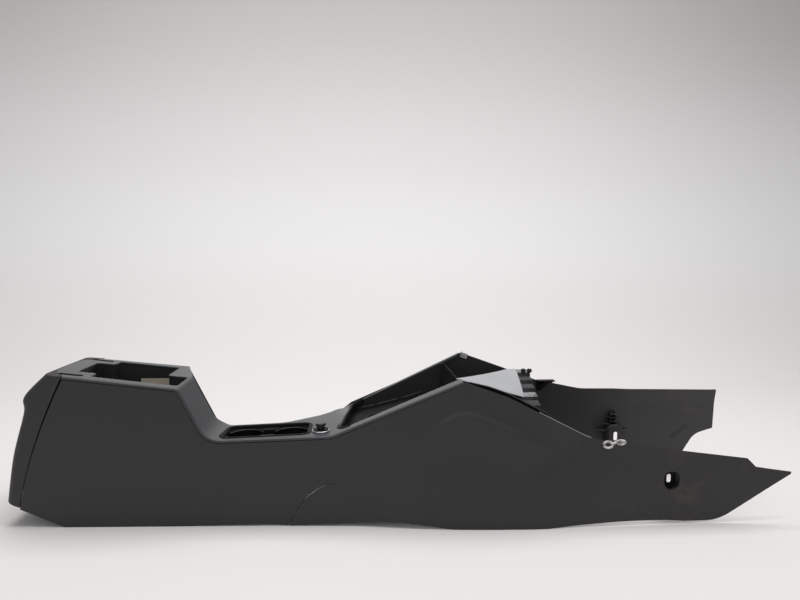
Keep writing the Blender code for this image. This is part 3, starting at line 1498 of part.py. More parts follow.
def cover_profile():
    line = curve_through([
        (BOX_REAR_X, BOX_REAR_Z),
        (COVER_BULGE_X + 5 * MM, COVER_BULGE_Z + 14 * MM),
        (COVER_BULGE_X, COVER_BULGE_Z),
        (COVER_WAIST_X, COVER_WAIST_Z),
        (COVER_BOW_X, COVER_BOW_Z),
        (COVER_BOTTOM_X, COVER_BOTTOM_Z),
    ], 4)
    return line


def station_at(line, z):
    """Station of a line at a height, for a line whose points run downward."""
    for before, after in zip(line, line[1:]):
        if after.y <= z <= before.y:
            return blend(before.x, after.x, (z - before.y) / (after.y - before.y))
    return line[0].x if z > line[0].y else line[-1].x


def cover_section(z):
    """Plan of the cover at a height, from the right seam round to the left one."""
    seam_x = station_at(seam_line(), z) - SEAM_GAP
    rear_x = station_at(cover_profile(), z)
    radius = min(REAR_CORNER_RADIUS, seam_x - rear_x - 1.5 * MM)
    side_x = rear_x + radius
    points = [Vector((seam_x, -lateral(seam_x, z))), Vector((side_x, -lateral(side_x, z)))]
    half = lateral(side_x, z)
    for step in range(1, 6):
        turn = math.pi / 2 * step / 5
        points.append(Vector((side_x - radius * math.sin(turn),
                              -half + radius * (1 - math.cos(turn)))))
    last_y = points[-1].y
    points += [Vector((rear_x, last_y * (1 - share / 4))) for share in range(1, 5)]
    return points + [Vector((p.x, -p.y)) for p in reversed(points[:-1])]


def cover_bottom(x):
    return blend(SEAM_BOTTOM_Z, COVER_BOTTOM_Z, (SEAM_BOTTOM_X - x) / (SEAM_BOTTOM_X - COVER_BOTTOM_X))


def rear_cover():
    seam_top = rear_edge(SEAM_GAP)
    levels = [index / 12 for index in range(13)]
    count = len(cover_section(BOX_REAR_Z))

    def place(level, column):
        low = cover_section(SEAM_BOTTOM_Z)[column]
        if level == "seam":
            wall_top = cover_section(box_height(SEAM_X))
            lengths = [0.0]
            for before, after in zip(wall_top, wall_top[1:]):
                lengths.append(lengths[-1] + (after - before).length)
            share = lengths[column] / lengths[-1]
            target = along(seam_top, share)
            return (target.x, target.y, box_height(target.x))
        bottom = cover_bottom(low.x)
        z = blend(bottom, box_height(low.x), level)
        point = cover_section(z)[column]
        top = box_height(point.x)
        z = blend(bottom, top, level)
        point = cover_section(z)[column]
        return (point.x, point.y, z)
    cover = sheet("rear_cover", levels + ["seam"], list(range(count)), place, parts)
    thicken(cover, PANEL_WALL)
    for side in (-1, 1):
        add_cover_boss(cover, side)
    return finish(frozen(cover), black_plastic, 50)


def along(line, share):
    """The point of a line at a share of its length."""
    total = sum((after - before).length for before, after in zip(line, line[1:]))
    left = share * total
    for before, after in zip(line, line[1:]):
        length = (after - before).length
        if left <= length:
            return before.lerp(after, left / length)
        left -= length
    return line[-1]


def add_cover_boss(cover, side):
    face_x = REAR_BEAM_X - REAR_BEAM_DEPTH / 2 - GAP
    wall_x = station_at(cover_profile(), REAR_BEAM_Z) + PANEL_WALL / 2
    boss = cone(f"cover_boss_{side}", BOSS_RADIUS, BOSS_RADIUS, face_x - wall_x, cutters, 20)
    boss.rotation_euler = (0, math.pi / 2, 0)
    boss.location = (wall_x, side * COVER_SCREW_Y, REAR_BEAM_Z)
    combine(cover, boss, 'UNION')
    bore = cone(f"cover_pilot_{side}", SCREW_SHANK + SCREW_PLAY, SCREW_SHANK + SCREW_PLAY,
                SCREW_LENGTH + 2 * MM, cutters, 16)
    bore.rotation_euler = (0, -math.pi / 2, 0)
    bore.location = (face_x + 2 * MM, side * COVER_SCREW_Y, REAR_BEAM_Z)
    combine(cover, bore, 'DIFFERENCE')


# Small pieces on the edges

def edge_clip(name, side, x, edge_z, slope, length, depth, split):
    """A spring clip bent over the edge of a side, built flat and then laid on it."""
    turn = math.atan(FLARE)
    lean = math.atan((lateral(x, edge_z - depth) - lateral(x, edge_z)) / depth)
    inner = PANEL_WALL / 2 + CLIP_PLAY
    outer = inner + CLIP_WALL
    top = GAP + CLIP_WALL
    outline = fillet_line([
        (-outer, -depth, 0.3 * MM),
        (-inner, -depth, 0.3 * MM),
        (-inner, GAP, 0.5 * MM),
        (inner, GAP, 0.5 * MM),
        (inner, -depth, 0.3 * MM),
        (outer, -depth, 0.3 * MM),
        (outer, top, 1.2 * MM),
        (-outer, top, 1.2 * MM),
    ])
    clip = prism(name, outline, "YZ", -length / 2, length / 2, parts)
    if split:
        for near in (-1, 1):
            slit = block(f"{name}_slit_{near}", (-split / 2, near * inner * 0.5, -2 * depth),
                         (split / 2, near * 3 * outer, -depth * 0.35), cutters)
            combine(clip, slit, 'DIFFERENCE')
    frozen(clip)
    clip.rotation_euler = (side * lean, slope, side * turn)
    clip.location = (x, side * (lateral(x, edge_z) - PANEL_WALL / 2), edge_z)
    return finish(clip, clip_metal)


def edge_spring_clip():
    slope = math.atan2(RIGHT_KNEE_Z - RIGHT_WING_Z, RIGHT_WING_X - RIGHT_KNEE_X)
    edge = RIGHT_KNEE_Z - math.tan(slope) * (WING_CLIP_X - RIGHT_KNEE_X)
    return edge_clip("edge_spring_clip", -1, WING_CLIP_X, edge, slope,
                     WING_CLIP_LENGTH, WING_CLIP_DEPTH, WING_CLIP_SPLIT)


def rail_clip():
    start_x = LEFT_CREST_X + TRIM_END_GAP
    fall = rail_height(LEFT_CREST_X) - LEFT_BROW_Z
    slope = math.atan2(fall, LEFT_BROW_X - start_x)
    edge = rail_height(LEFT_CREST_X) - math.tan(slope) * (RAIL_CLIP_X - start_x)
    return edge_clip("rail_clip", 1, RAIL_CLIP_X, edge, slope,
                     RAIL_CLIP_LENGTH, RAIL_CLIP_DEPTH, 0)


def dash_bracket_left():
    """An angle under the step in the left side's edge, with one gusset."""
    top = LEFT_KNEE_Z - GAP
    rear = LEFT_STEP_X - DASH_BRACKET_LENGTH
    reach = lateral(LEFT_STEP_X, top) - PANEL_WALL - DASH_BRACKET_REACH
    wide = lateral(LEFT_STEP_X, 0)
    plate = block("dash_bracket_left", (rear, reach, top - DASH_BRACKET_WALL),
                  (LEFT_STEP_X, wide, top), parts)
    upright = block("dash_upright", (rear, reach + DASH_BRACKET_REACH - 2 * DASH_BRACKET_WALL,
                                     top - DASH_BRACKET_DROP), (LEFT_STEP_X, wide, top), cutters)
    combine(plate, upright, 'UNION')
    gusset = [(reach + MM, top - MM), (wide, top - DASH_BRACKET_DROP + MM), (wide, top - MM)]
    middle = rear + DASH_BRACKET_LENGTH / 2
    combine(plate, prism("dash_gusset", gusset, "YZ", middle - MM, middle + MM, cutters), 'UNION')
    combine(plate, inside_space("dash_space", SEAT_GAP), 'INTERSECT')
    return finish(frozen(plate), dark_plastic)


clear_scene()
CUTTERS = "cutters"
parts = new_collection("car_center_console")
cutters = new_collection(CUTTERS)

black_plastic = new_material("console_plastic", (0.031, 0.031, 0.033), 0.62)
dark_plastic = new_material("inner_plastic", (0.012, 0.012, 0.013), 0.55)
gloss_plastic = new_material("knob_plastic", (0.014, 0.014, 0.015), 0.3)
light_sheet = new_material("light_sheet", (0.42, 0.43, 0.44), 0.5)
bracket_steel = new_material("bracket_steel", (0.32, 0.32, 0.33), 0.45, 1.0)
barrel_metal = new_material("barrel_metal", (0.5, 0.5, 0.5), 0.35, 1.0)
contact_brass = new_material("contact_brass", (0.6, 0.45, 0.2), 0.35, 1.0)
screw_steel = new_material("screw_steel", (0.28, 0.28, 0.28), 0.4, 1.0)
clip_metal = new_material("clip_metal", (0.6, 0.6, 0.58), 0.45, 0.6)
buffer_rubber = new_material("buffer_rubber", (0.015, 0.015, 0.015), 0.85)
label_paper = new_material("label_paper", (0.62, 0.56, 0.45), 0.9)

right_side_panel()
left_side_panel()
upper_trim()
rear_cover()
storage_bin()
bin_label()
hinge_bracket()
handbrake_tray()
cup_holder()
socket_sleeve()
socket_barrel()
socket_contact()
lighter_shell()
lighter_knob()
lighter_coil_cup()
shift_surround()
front_cover_plate()
front_bracket()
bracket_buffer(0)
bracket_buffer(1)
dash_bracket_left()
rear_crossmember()
mid_crossmember()
for carrier_name, carrier_ends in carriers().items():
    end_screws(carrier_name, carrier_ends)
cover_screws()
edge_spring_clip()
rail_clip()
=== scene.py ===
import math

import bmesh
import bpy
from mathutils import Matrix, Vector


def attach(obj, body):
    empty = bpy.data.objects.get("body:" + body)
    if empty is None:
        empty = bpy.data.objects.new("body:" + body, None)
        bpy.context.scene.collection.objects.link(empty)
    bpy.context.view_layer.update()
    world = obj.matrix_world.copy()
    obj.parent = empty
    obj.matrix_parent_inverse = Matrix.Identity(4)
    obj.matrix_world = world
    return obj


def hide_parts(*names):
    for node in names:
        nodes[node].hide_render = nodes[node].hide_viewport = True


# Centre console of a car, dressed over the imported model. +X runs forward to the dashboard, +Y to the
# car's left and +Z up. Shapes are drawn in millimetres and made metres when a piece is finished.

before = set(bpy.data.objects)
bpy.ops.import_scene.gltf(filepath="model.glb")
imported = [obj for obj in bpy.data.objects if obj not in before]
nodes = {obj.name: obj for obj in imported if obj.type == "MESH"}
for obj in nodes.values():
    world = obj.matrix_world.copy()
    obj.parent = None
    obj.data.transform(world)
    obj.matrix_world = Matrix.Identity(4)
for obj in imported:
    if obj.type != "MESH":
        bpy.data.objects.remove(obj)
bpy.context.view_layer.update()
scene = bpy.context.scene
mm = 0.001
print("model loaded:", len(nodes), "nodes")


# Camera

cameraSet = {
    "place": (-0.10380, -1.00351, 0.40562),
    "right": (0.996563, -0.081897, 0.012449),
    "up": (-0.006398, 0.073742, 0.997256),
    "back": (-0.082590, -0.993909, 0.072964),
    "lens": 27.813,                                # on a 36 mm sensor
}
cameraData = bpy.data.cameras.new("camera")
cameraData.lens = cameraSet["lens"]
cameraData.sensor_width = 36
camera = bpy.data.objects.new("camera", cameraData)
scene.collection.objects.link(camera)
cameraTurn = Matrix((cameraSet["right"], cameraSet["up"], cameraSet["back"])).transposed().to_4x4()
camera.matrix_world = Matrix.Translation(cameraSet["place"]) @ cameraTurn
scene.camera = camera
scene.view_settings.view_transform = 'Standard'


# Shader maths

class Wire:
    # a node's output on which + - and * add Math nodes

    def __init__(self, paint, socket):
        self.paint = paint
        self.socket = socket

    def sum(self, operation, first, second=None, clamp=False):
        return self.paint.add("ShaderNodeMath", {"operation": operation, "use_clamp": clamp},
                              {0: first, 1: second})

    def __add__(self, other):
        return self.sum('ADD', self, other)

    def __radd__(self, other):
        return self.sum('ADD', other, self)

    def __sub__(self, other):
        return self.sum('SUBTRACT', self, other)

    def __rsub__(self, other):
        return self.sum('SUBTRACT', other, self)

    def __mul__(self, other):
        return self.sum('MULTIPLY', self, other)

    def __rmul__(self, other):
        return self.sum('MULTIPLY', other, self)

    def held(self):
        return self.sum('ADD', self, 0.0, True)    # kept between 0 and 1

    def step(self, low, high):
        return self.paint.add("ShaderNodeMapRange", {"interpolation_type": 'SMOOTHSTEP'},
                              {"Value": self, "From Min": low, "From Max": high})


class Paint:
    # one material and the nodes behind its shader

    def __init__(self, name, colour, roughness, metallic=0.0, **sockets):
        self.material = bpy.data.materials.new(name)
        self.material.use_nodes = True
        self.tree = self.material.node_tree
        self.shader = self.tree.nodes["Principled BSDF"]
        self.shader.inputs["Base Color"].default_value = (*colour, 1)
        self.shader.inputs["Roughness"].default_value = roughness
        self.shader.inputs["Metallic"].default_value = metallic
        for socket, value in sockets.items():
            self.shader.inputs[socket.replace("_", " ")].default_value = value
        self.coordinates = self.add("ShaderNodeTexCoord", output="Object")

    def add(self, kind, settings=None, sockets=None, output=0):
        node = self.tree.nodes.new(kind)
        for key, value in (settings or {}).items():
            if key == "stops":
                for index, (place, shade) in enumerate(value):
                    ramp = node.color_ramp.elements
                    stop = ramp[index] if index < 2 else ramp.new(place)
                    stop.position = place
                    stop.color = shade
            else:
                setattr(node, key, value)
        for key, value in (sockets or {}).items():
            if isinstance(value, Wire):
                self.tree.links.new(value.socket, node.inputs[key])
            elif value is not None:
                node.inputs[key].default_value = value
        return Wire(self, node.outputs[output])

    def noise(self, scale, detail=2.0, roughness=0.5, stretch=None):
        place = self.coordinates
        if stretch:
            place = self.add("ShaderNodeMapping", None, {"Vector": place, "Scale": stretch})
        return self.add("ShaderNodeTexNoise", None, {"Vector": place, "Scale": scale,
                                                     "Detail": detail, "Roughness": roughness})

    def part(self, axis):
        return self.add("ShaderNodeSeparateXYZ", None, {"Vector": self.coordinates}, axis)

    def mixed(self, factor, first, second):
        return self.add("ShaderNodeMix", {"data_type": 'RGBA'}, {0: factor, 6: first, 7: second}, 2)

    def give(self, socket, wire):
        self.tree.links.new(wire.socket, self.shader.inputs[socket])
        return self

    def bump(self, height, strength, distance):
        self.give("Normal", self.add("ShaderNodeBump", None, {
            "Strength": strength, "Distance": distance, "Height": height}))
        return self


def shade(colour, factor):
    return tuple(min(value * factor, 1.0) for value in colour[:3]) + (1,)


plasticSet = {
    "grainScale": 620,                             # pits of the moulded grain per metre
    "grainDepth": 0.00022, "grainBump": 0.32, "fineScale": 279,
    "cloudScale": 7, "cloudShare": 0.10,           # light and dark clouds in the colour
    "cloudRough": 0.10, "pitRough": 0.06,
    "rampX": (-0.357, -0.350, -0.325, -0.300), "rampMatt": 0.34,    # rougher down the steep ramp
}


def mouldedPlastic(name, colour, roughness, grain=1.0, marked=False, stripAndShade=False, shine=0.5,
                   matt=False):
    # injection moulded plastic with a fine pitted grain and slight clouding
    paint = Paint(name, colour, roughness, Specular_IOR_Level=shine)
    s = plasticSet
    cloud = paint.noise(s["cloudScale"], 3)
    fine = paint.noise(s["fineScale"], 2)
    pits = paint.add("ShaderNodeTexVoronoi", {"feature": 'SMOOTH_F1'}, {
        "Vector": paint.coordinates, "Scale": s["grainScale"], "Smoothness": 0.6}, "Distance")
    share = s["cloudShare"]
    tone = (cloud - 0.5) * share * 3 + (fine - 0.5) * share + 0.5
    colourWire = paint.mixed(tone.held(), shade(colour, 1 - share), shade(colour, 1 + share))
    rough = cloud * s["cloudRough"] + pits * s["pitRough"] + (roughness - 0.07)
    if marked:
        colourWire, rough = handlingMarks(paint, colourWire, rough)
    # a dark slanting strip, and painted shade over the left wing's rear part
    if stripAndShade:
        rear = 1 - paint.part("X").step(*marksSet["shadedRear"])
        dark = slantStrip(paint) * marksSet["slantShare"] + rear * marksSet["shadeShare"]
        colourWire = paint.mixed(dark.held(), colourWire, shade(colour, marksSet["darkest"]))
    if matt:
        x = paint.part("X")
        ramp = x.step(*s["rampX"][:2]) * (1 - x.step(*s["rampX"][2:]))
        rough = rough + ramp * s["rampMatt"]
    paint.give("Base Color", colourWire)
    paint.give("Roughness", rough.held())
    paint.bump(pits + fine * 0.5, s["grainBump"] * grain, s["grainDepth"])
    return paint.material


marksSet = {
    "along": (0.20, 0.40),                         # marks gather on the wings between these stations
    "smearScale": 16, "speckScale": 95, "scratchScale": 60,
    "smear": 0.16, "specks": 0.55, "scratches": 0.30, "smearRough": 0.08,
    "dust": (0.17, 0.125, 0.11, 1),
    "slantFoot": (0.512, 0.062), "slantTurn": (0.83, 0.56), "slantLength": 0.045, "slantHalf": 0.0055,
    "shadedRear": (0.29, 0.44),                      # painted shade: the left wing is darkened behind these stations, for the bracket's shadow
    "slantShare": 0.55, "shadeShare": 0.95, "darkest": 0.25,
}


def slantStrip(paint):
    # a dark slanting strip on the left wing
    (footX, footZ), (run, rise), s = marksSet["slantFoot"], marksSet["slantTurn"], marksSet
    x, z = paint.part("X") - footX, paint.part("Z") - footZ
    along, across = x * run + z * rise, z * run - x * rise
    ends = along.step(0, 0.004) * (1 - along.step(s["slantLength"] - 0.005, s["slantLength"]))
    half = s["slantHalf"]
    return ends * across.step(-half, 0.002 - half) * (1 - across.step(half - 0.002, half))


def handlingMarks(paint, colourWire, rough):
    # dust, smears and short scratches on the wings, which lie bare in the car
    s = marksSet
    along = paint.part("X").step(*s["along"])
    smear = paint.noise(s["smearScale"], 4, 0.6, (1, 1, 1.8)).step(0.52, 0.72)
    specks = paint.noise(s["speckScale"], 2, 0.7).step(0.66, 0.74)
    scratch = paint.noise(s["scratchScale"], 1, 0.5, (0.12, 1, 1.4)).step(0.70, 0.74)
    dust = smear * s["smear"] + specks * smear * s["specks"] + scratch * smear * s["scratches"]
    colourWire = paint.mixed((dust * along).held(), colourWire, s["dust"])
    return colourWire, rough + smear * along * s["smearRough"]


sidePlastic = mouldedPlastic("sidePlastic", (0.0235, 0.0213, 0.0218), 0.56, 1.0, True)
leftPlastic = mouldedPlastic("leftPlastic", (0.0410, 0.0385, 0.0395), 0.56, 1.0, True, True)
trimPlastic = mouldedPlastic("trimPlastic", (0.0335, 0.0350, 0.0395), 0.31, matt=True)
insertPlastic = mouldedPlastic("insertPlastic", (0.0090, 0.0085, 0.0095), 0.46, 0.6, shine=0.25)
innerPlastic = mouldedPlastic("innerPlastic", (0.0115, 0.0110, 0.0120), 0.55, 0.5, shine=0.25)
blackPlastic = mouldedPlastic("blackPlastic", (0.0045, 0.0045, 0.0050), 0.40, 0.3, shine=0.06)
glossPlastic = mouldedPlastic("glossPlastic", (0.0070, 0.0070, 0.0075), 0.20, 0.15)
knobPlastic = mouldedPlastic("knobPlastic", (0.0110, 0.0110, 0.0115), 0.28, 0.2)
# painted highlight: a light grey for the line along the right panel's edge, where light catches it
edgeHighlightPlastic = mouldedPlastic("edgeHighlightPlastic", (0.26, 0.26, 0.27), 0.35, 0.3)


def paleSheet():
    paint = Paint("paleSheet", (0.40, 0.405, 0.42), 0.42)
    cloud = paint.noise(22, 3)
    fibre = paint.noise(300, 2, 0.5, (1, 0.15, 1))
    tone = (cloud * 0.6 + fibre * 0.4).held()
    paint.give("Base Color", paint.mixed(tone, (0.35, 0.355, 0.37, 1), (0.45, 0.455, 0.47, 1)))
    paint.give("Roughness", (fibre * 0.15 + 0.36).held())
    return paint.bump(cloud * 0.5 + fibre * 0.1, 0.25, 0.0008).material


def metal(name, dark, light, roughness, brushed=(1, 1, 1), metallic=1.0):
    paint = Paint(name, light, roughness, metallic)
    stain = paint.noise(130, 4, 0.6)
    brush = paint.noise(900, 2, 0.5, brushed)
    paint.give("Base Color", paint.mixed(stain.step(0.35, 0.7), (*dark, 1), (*light, 1)))
    paint.give("Roughness", (stain * 0.12 + brush * 0.14 + (roughness - 0.12)).held())
    return paint.bump(brush, 0.12, 0.0001).material


rimMetal = metal("rimMetal", (0.55, 0.55, 0.56), (0.72, 0.72, 0.73), 0.30, (1, 1, 8), 0.85)
barrelMetal = metal("barrelMetal", (0.40, 0.40, 0.40), (0.60, 0.60, 0.60), 0.35, (1, 1, 8))
contactBrass = metal("contactBrass", (0.42, 0.29, 0.10), (0.65, 0.48, 0.20), 0.34)
bracketSteel = metal("bracketSteel", (0.16, 0.16, 0.165), (0.30, 0.30, 0.31), 0.42, (0.2, 1, 1))
screwSteel = metal("screwSteel", (0.18, 0.18, 0.18), (0.34, 0.34, 0.34), 0.40)
clipMetal = metal("clipMetal", (0.30, 0.28, 0.27), (0.78, 0.77, 0.76), 0.46, (1, 1, 1), 0.35)


def rubber():
    paint = Paint("bufferRubber", (0.014, 0.014, 0.014), 0.8)
    bloom = paint.noise(240, 4)
    paint.give("Base Color", paint.mixed(bloom, (0.010, 0.010, 0.010, 1), (0.022, 0.022, 0.023, 1)))
    paint.give("Roughness", (bloom * 0.15 + 0.72).held())
    return paint.bump(bloom, 0.3, 0.0002).material


def labelPaper():
    paint = Paint("labelPaper", (0.62, 0.55, 0.43), 0.85)
    fibre = paint.noise(900, 3, 0.6, (1, 1, 0.3))
    age = paint.noise(40, 3)
    tone = (fibre * 0.5 + age * 0.5).held()
    paint.give("Base Color", paint.mixed(tone, (0.54, 0.46, 0.34, 1), (0.70, 0.64, 0.53, 1)))
    paint.give("Roughness", (fibre * 0.1 + 0.8).held())
    return paint.bump(fibre, 0.3, 0.0001).material


bufferRubber = rubber()
labelStock = labelPaper()
pale = paleSheet()
print("materials mixed:", len(bpy.data.materials))


# Lines and small helpers

def ease(value):
    value = min(max(value, 0.0), 1.0)
    return value * value * (3 - 2 * value)


def between(low, high, value):
    return low + (high - low) * value


def rounded(corners, closed=True, arcStep=math.radians(12)):
    # points through the corners (u, v, radius), each rounded by an arc
    points = []
    count = len(corners)
    for index, (u, v, radius) in enumerate(corners):
        corner = Vector((u, v))
        if radius == 0 or (not closed and index in (0, count - 1)):
            points.append(corner)
            continue
        before = Vector(corners[index - 1][:2]) - corner
        after = Vector(corners[(index + 1) % count][:2]) - corner
        half = before.angle(after) / 2
        reach = min(radius / math.tan(half), 0.48 * min(before.length, after.length))
        inward = (before.normalized() + after.normalized()).normalized()
        centre = corner + inward * reach * math.tan(half) / math.sin(half)
        first = corner + before.normalized() * reach - centre
        last = corner + after.normalized() * reach - centre
        turn = -first.angle_signed(last)
        steps = max(3, math.ceil(abs(turn) / arcStep))
        points += [centre + Matrix.Rotation(turn * part / steps, 2) @ first
                   for part in range(steps + 1)]
    return points


def grown(corners, distance):
    # the closed corner list, counter-clockwise, with every side moved outwards
    result = []
    for index, (u, v, radius) in enumerate(corners):
        corner = Vector((u, v))
        before = (corner - Vector(corners[index - 1][:2])).normalized()
        after = (Vector(corners[(index + 1) % len(corners)][:2]) - corner).normalized()
        outBefore = Vector((before.y, -before.x))
        middle = (outBefore + Vector((after.y, -after.x))).normalized()
        moved = corner + middle * distance / middle.dot(outBefore)
        bent = radius + distance if before.cross(after) > 0 else radius - distance
        result.append((moved.x, moved.y, max(bent, 0.5) if radius else 0))
    return result


def oblong(x, z, length, height, radius):
    return [(x - length / 2, z - height / 2, radius), (x + length / 2, z - height / 2, radius),
            (x + length / 2, z + height / 2, radius), (x - length / 2, z + height / 2, radius)]


def smoothLine(points, parts):
    # a flowing line through the points
    padded = [points[0], *points, points[-1]]
    line = []
    for a, b, c, d in zip(padded, padded[1:], padded[2:], padded[3:]):
        a, b, c, d = Vector(a), Vector(b), Vector(c), Vector(d)
        for part in range(parts):
            t = part / parts
            line.append((2 * b + (c - a) * t + (2 * a - 5 * b + 4 * c - d) * t * t
                         + (3 * b - a - 3 * c + d) * t ** 3) / 2)
    return line + [Vector(points[-1])]


def heightAt(line, x):
    # height of a line that runs forward
    for before, after in zip(line, line[1:]):
        if before.x <= x <= after.x and after.x > before.x:
            return between(before.y, after.y, (x - before.x) / (after.x - before.x))
    return line[0].y if x < line[0].x else line[-1].y


def lowered(line, distance):
    # the line moved square to itself, downwards
    moved = []
    for index, point in enumerate(line):
        into = point - line[max(index - 1, 0)] if index else line[1] - point
        out = line[index + 1] - point if index < len(line) - 1 else into
        sideIn = Vector((into.y, -into.x)).normalized()
        middle = (sideIn + Vector((out.y, -out.x)).normalized()).normalized()
        moved.append(point + middle * distance / middle.dot(sideIn))
    return moved


def distanceTo(line, x, z):
    # signed distance to a line, positive to the right of its direction, and the share along it
    best = (1e9, 0.0)
    place = Vector((x, z))
    for index, (first, last) in enumerate(zip(line, line[1:])):
        along = last - first
        share = min(max((place - first).dot(along) / along.length_squared, 0.0), 1.0)
        away = place - (first + along * share)
        if away.length < abs(best[0]):
            sign = 1 if along.cross(away) < 0 else -1
            best = (sign * away.length, (index + share) / (len(line) - 1))
    return best


# The form of the console

form = {
    "seamX": -519, "rearHalf": 80, "flare": 0.037,
    "turnX": 330, "turnLength": 180, "draft": 5,
    "footSwell": 15, "footTop": 132, "footRear": -200, "footFull": 120,
    "footFade": 190, "footEnd": 440, "footLeft": 0.15,
    "shoulder": 5, "shoulderDrop": 46, "shoulderRear": -90, "shoulderEnd": 250, "shoulderBlend": 90,
    "boxRear": (-547, 226), "boxFront": (-353, 205.5), "lowRear": (-312.5, 128),
    "lowFront": (-128, 135.2), "railSlope": math.tan(math.radians(22.8)),
    "rightCrest": 68, "leftCrest": 93, "trimGap": 1.3, "knee": (263, 131),
    "leftDrop": 11, "dropFoot": -112, "dropBlend": 24, "dropFullY": 92,
    "trimWall": 2.6, "skirt": 4.0, "panelWall": 2.8, "joint": 0.12,
}


def railHeight(x):
    return form["lowFront"][1] + form["railSlope"] * (x - form["lowFront"][0])


def boxHeight(x):
    (rearX, rearZ), (frontX, frontZ) = form["boxRear"], form["boxFront"]
    return between(rearZ, frontZ, (x - rearX) / (frontX - rearX))


def shoulderLine(x):
    crest, (kneeX, kneeZ) = form["rightCrest"], form["knee"]
    if x < crest:
        return railHeight(x)
    return between(railHeight(crest), kneeZ, (x - crest) / (kneeX - crest))


def halfWidth(x, z):
    # half width of the console's outer side
    beyond = max(x - form["turnX"], 0.0)
    if beyond < form["turnLength"]:
        turned = form["flare"] * beyond * beyond / (2 * form["turnLength"])
    else:
        turned = form["flare"] * (beyond - form["turnLength"] / 2)
    plan = form["rearHalf"] + form["flare"] * (x - form["seamX"]) - turned
    draft = form["draft"] * (1 - z / form["boxRear"][1])
    run = ease((x - form["footRear"]) / (form["footFull"] - form["footRear"]))
    fade = ease((x - form["footFade"]) / (form["footEnd"] - form["footFade"]))
    foot = form["footSwell"] * ease(1 - z / form["footTop"]) * run * between(1, form["footLeft"], fade)
    below = (shoulderLine(x) - z) / form["shoulderDrop"]
    fades = (ease((x - form["shoulderRear"]) / form["shoulderBlend"])
             * ease((form["shoulderEnd"] - x) / form["shoulderBlend"]))
    return plan + draft + foot + form["shoulder"] * ease(below) * fades


topLine = rounded([(*form["boxRear"], 0), (*form["boxFront"], 9), (*form["lowRear"], 36),
                   (*form["lowFront"], 50), (140, railHeight(140), 0)],
                  closed=False, arcStep=math.radians(4))


def leftDrop(x, y):
    # the left rail lies a little lower than the right one and climbs to the same line
    crest = form["leftCrest"]
    climb = min(max((crest - x) / (crest - form["dropFoot"]), 0.0), 1.0)
    behind = ease((x - form["lowFront"][0]) / form["dropBlend"])
    return form["leftDrop"] * climb * behind * min(max(y / form["dropFullY"], 0.0), 1.0)


def topHeight(x, y=0.0):
    return heightAt(topLine, x) - leftDrop(x, y)


# Making pieces

def intoPiece(bm, name, finish, body="console", slot=None, replaced=(), sharp=38):
    # a piece in metres at the origin, riding on its body
    bmesh.ops.scale(bm, vec=(mm, mm, mm), verts=bm.verts)
    mesh = bpy.data.meshes.new(name)
    bm.to_mesh(mesh)
    bm.free()
    mesh.materials.append(finish)
    mesh.shade_smooth()
    mesh.set_sharp_from_angle(angle=math.radians(sharp))
    piece = bpy.data.objects.new(name, mesh)
    scene.collection.objects.link(piece)
    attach(piece, body)
    if replaced:
        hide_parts(*replaced)
    return piece


def stretchedGrid(columns, rows, place):
    # a grid whose vertex at (column, row) lies where place says
    bm = bmesh.new()
    bmesh.ops.create_grid(bm, x_segments=len(columns) - 1, y_segments=len(rows) - 1, size=0.5)
    for vert in bm.verts:
        column = columns[round((vert.co.x + 0.5) * (len(columns) - 1))]
        row = rows[round((vert.co.y + 0.5) * (len(rows) - 1))]
        vert.co = place(column, row)
    return bm


def ringOf(bm, points):
    verts = [bm.verts.new(point) for point in points]
    return [bm.edges.new(pair) for pair in zip(verts, verts[1:] + verts[:1])]


def skinned(bm, rings, wrap=True):
    # quads between rings of as many points, one after the other
    drawn = [[bm.verts.new(point) for point in ring] for ring in rings]
    for first, second in zip(drawn, drawn[1:]):
        for index in range(len(first) if wrap else len(first) - 1):
            after = (index + 1) % len(first)
            bm.faces.new((first[index], first[after], second[after], second[index]))


def sealed(bm):
    # merged, with its open ends filled and its normals outwards
    bmesh.ops.remove_doubles(bm, verts=bm.verts, dist=0.01)
    bmesh.ops.holes_fill(bm, edges=[edge for edge in bm.edges if edge.is_boundary])
    bmesh.ops.recalc_face_normals(bm, faces=bm.faces)
    return bm


def tube(bm, path, radius, sides=10):
    # a round bar along a path, closed on itself when its ends meet
    path = [Vector(point) for point in path]
    closed = (path[0] - path[-1]).length < 0.01
    rings = []
    for index, point in enumerate(path):
        before = path[index - 1] if index else (path[-2] if closed else point)
        after = path[index + 1] if index < len(path) - 1 else (path[1] if closed else point)
        along = (after - before).normalized()
        side = along.cross(Vector((0, 0, 1) if abs(along.z) < 0.9 else (0, 1, 0))).normalized()
        top = side.cross(along)
        turns = [math.tau * part / sides for part in range(sides)]
        rings.append([point + side * radius * math.cos(turn) + top * radius * math.sin(turn)
                      for turn in turns])
    skinned(bm, rings)


def filled(bm, loops, z):
    # a flat face inside the first loop and outside the others, merged with what is there
    curve = bpy.data.curves.new("fill", 'CURVE')
    curve.dimensions = '2D'
    curve.fill_mode = 'BOTH'
    for loop in loops:
        spline = curve.splines.new('POLY')
        spline.points.add(len(loop) - 1)
        for point, corner in zip(spline.points, loop):
            point.co = (corner[0], corner[1], 0, 1)
        spline.use_cyclic_u = True
    drawn = bpy.data.objects.new("fill", curve)
    mesh = bpy.data.meshes.new_from_object(drawn)
    mesh.transform(Matrix.Translation((0, 0, z)))
    bm.from_mesh(mesh)
    bpy.data.objects.remove(drawn)
    bpy.data.curves.remove(curve)
    bpy.data.meshes.remove(mesh)


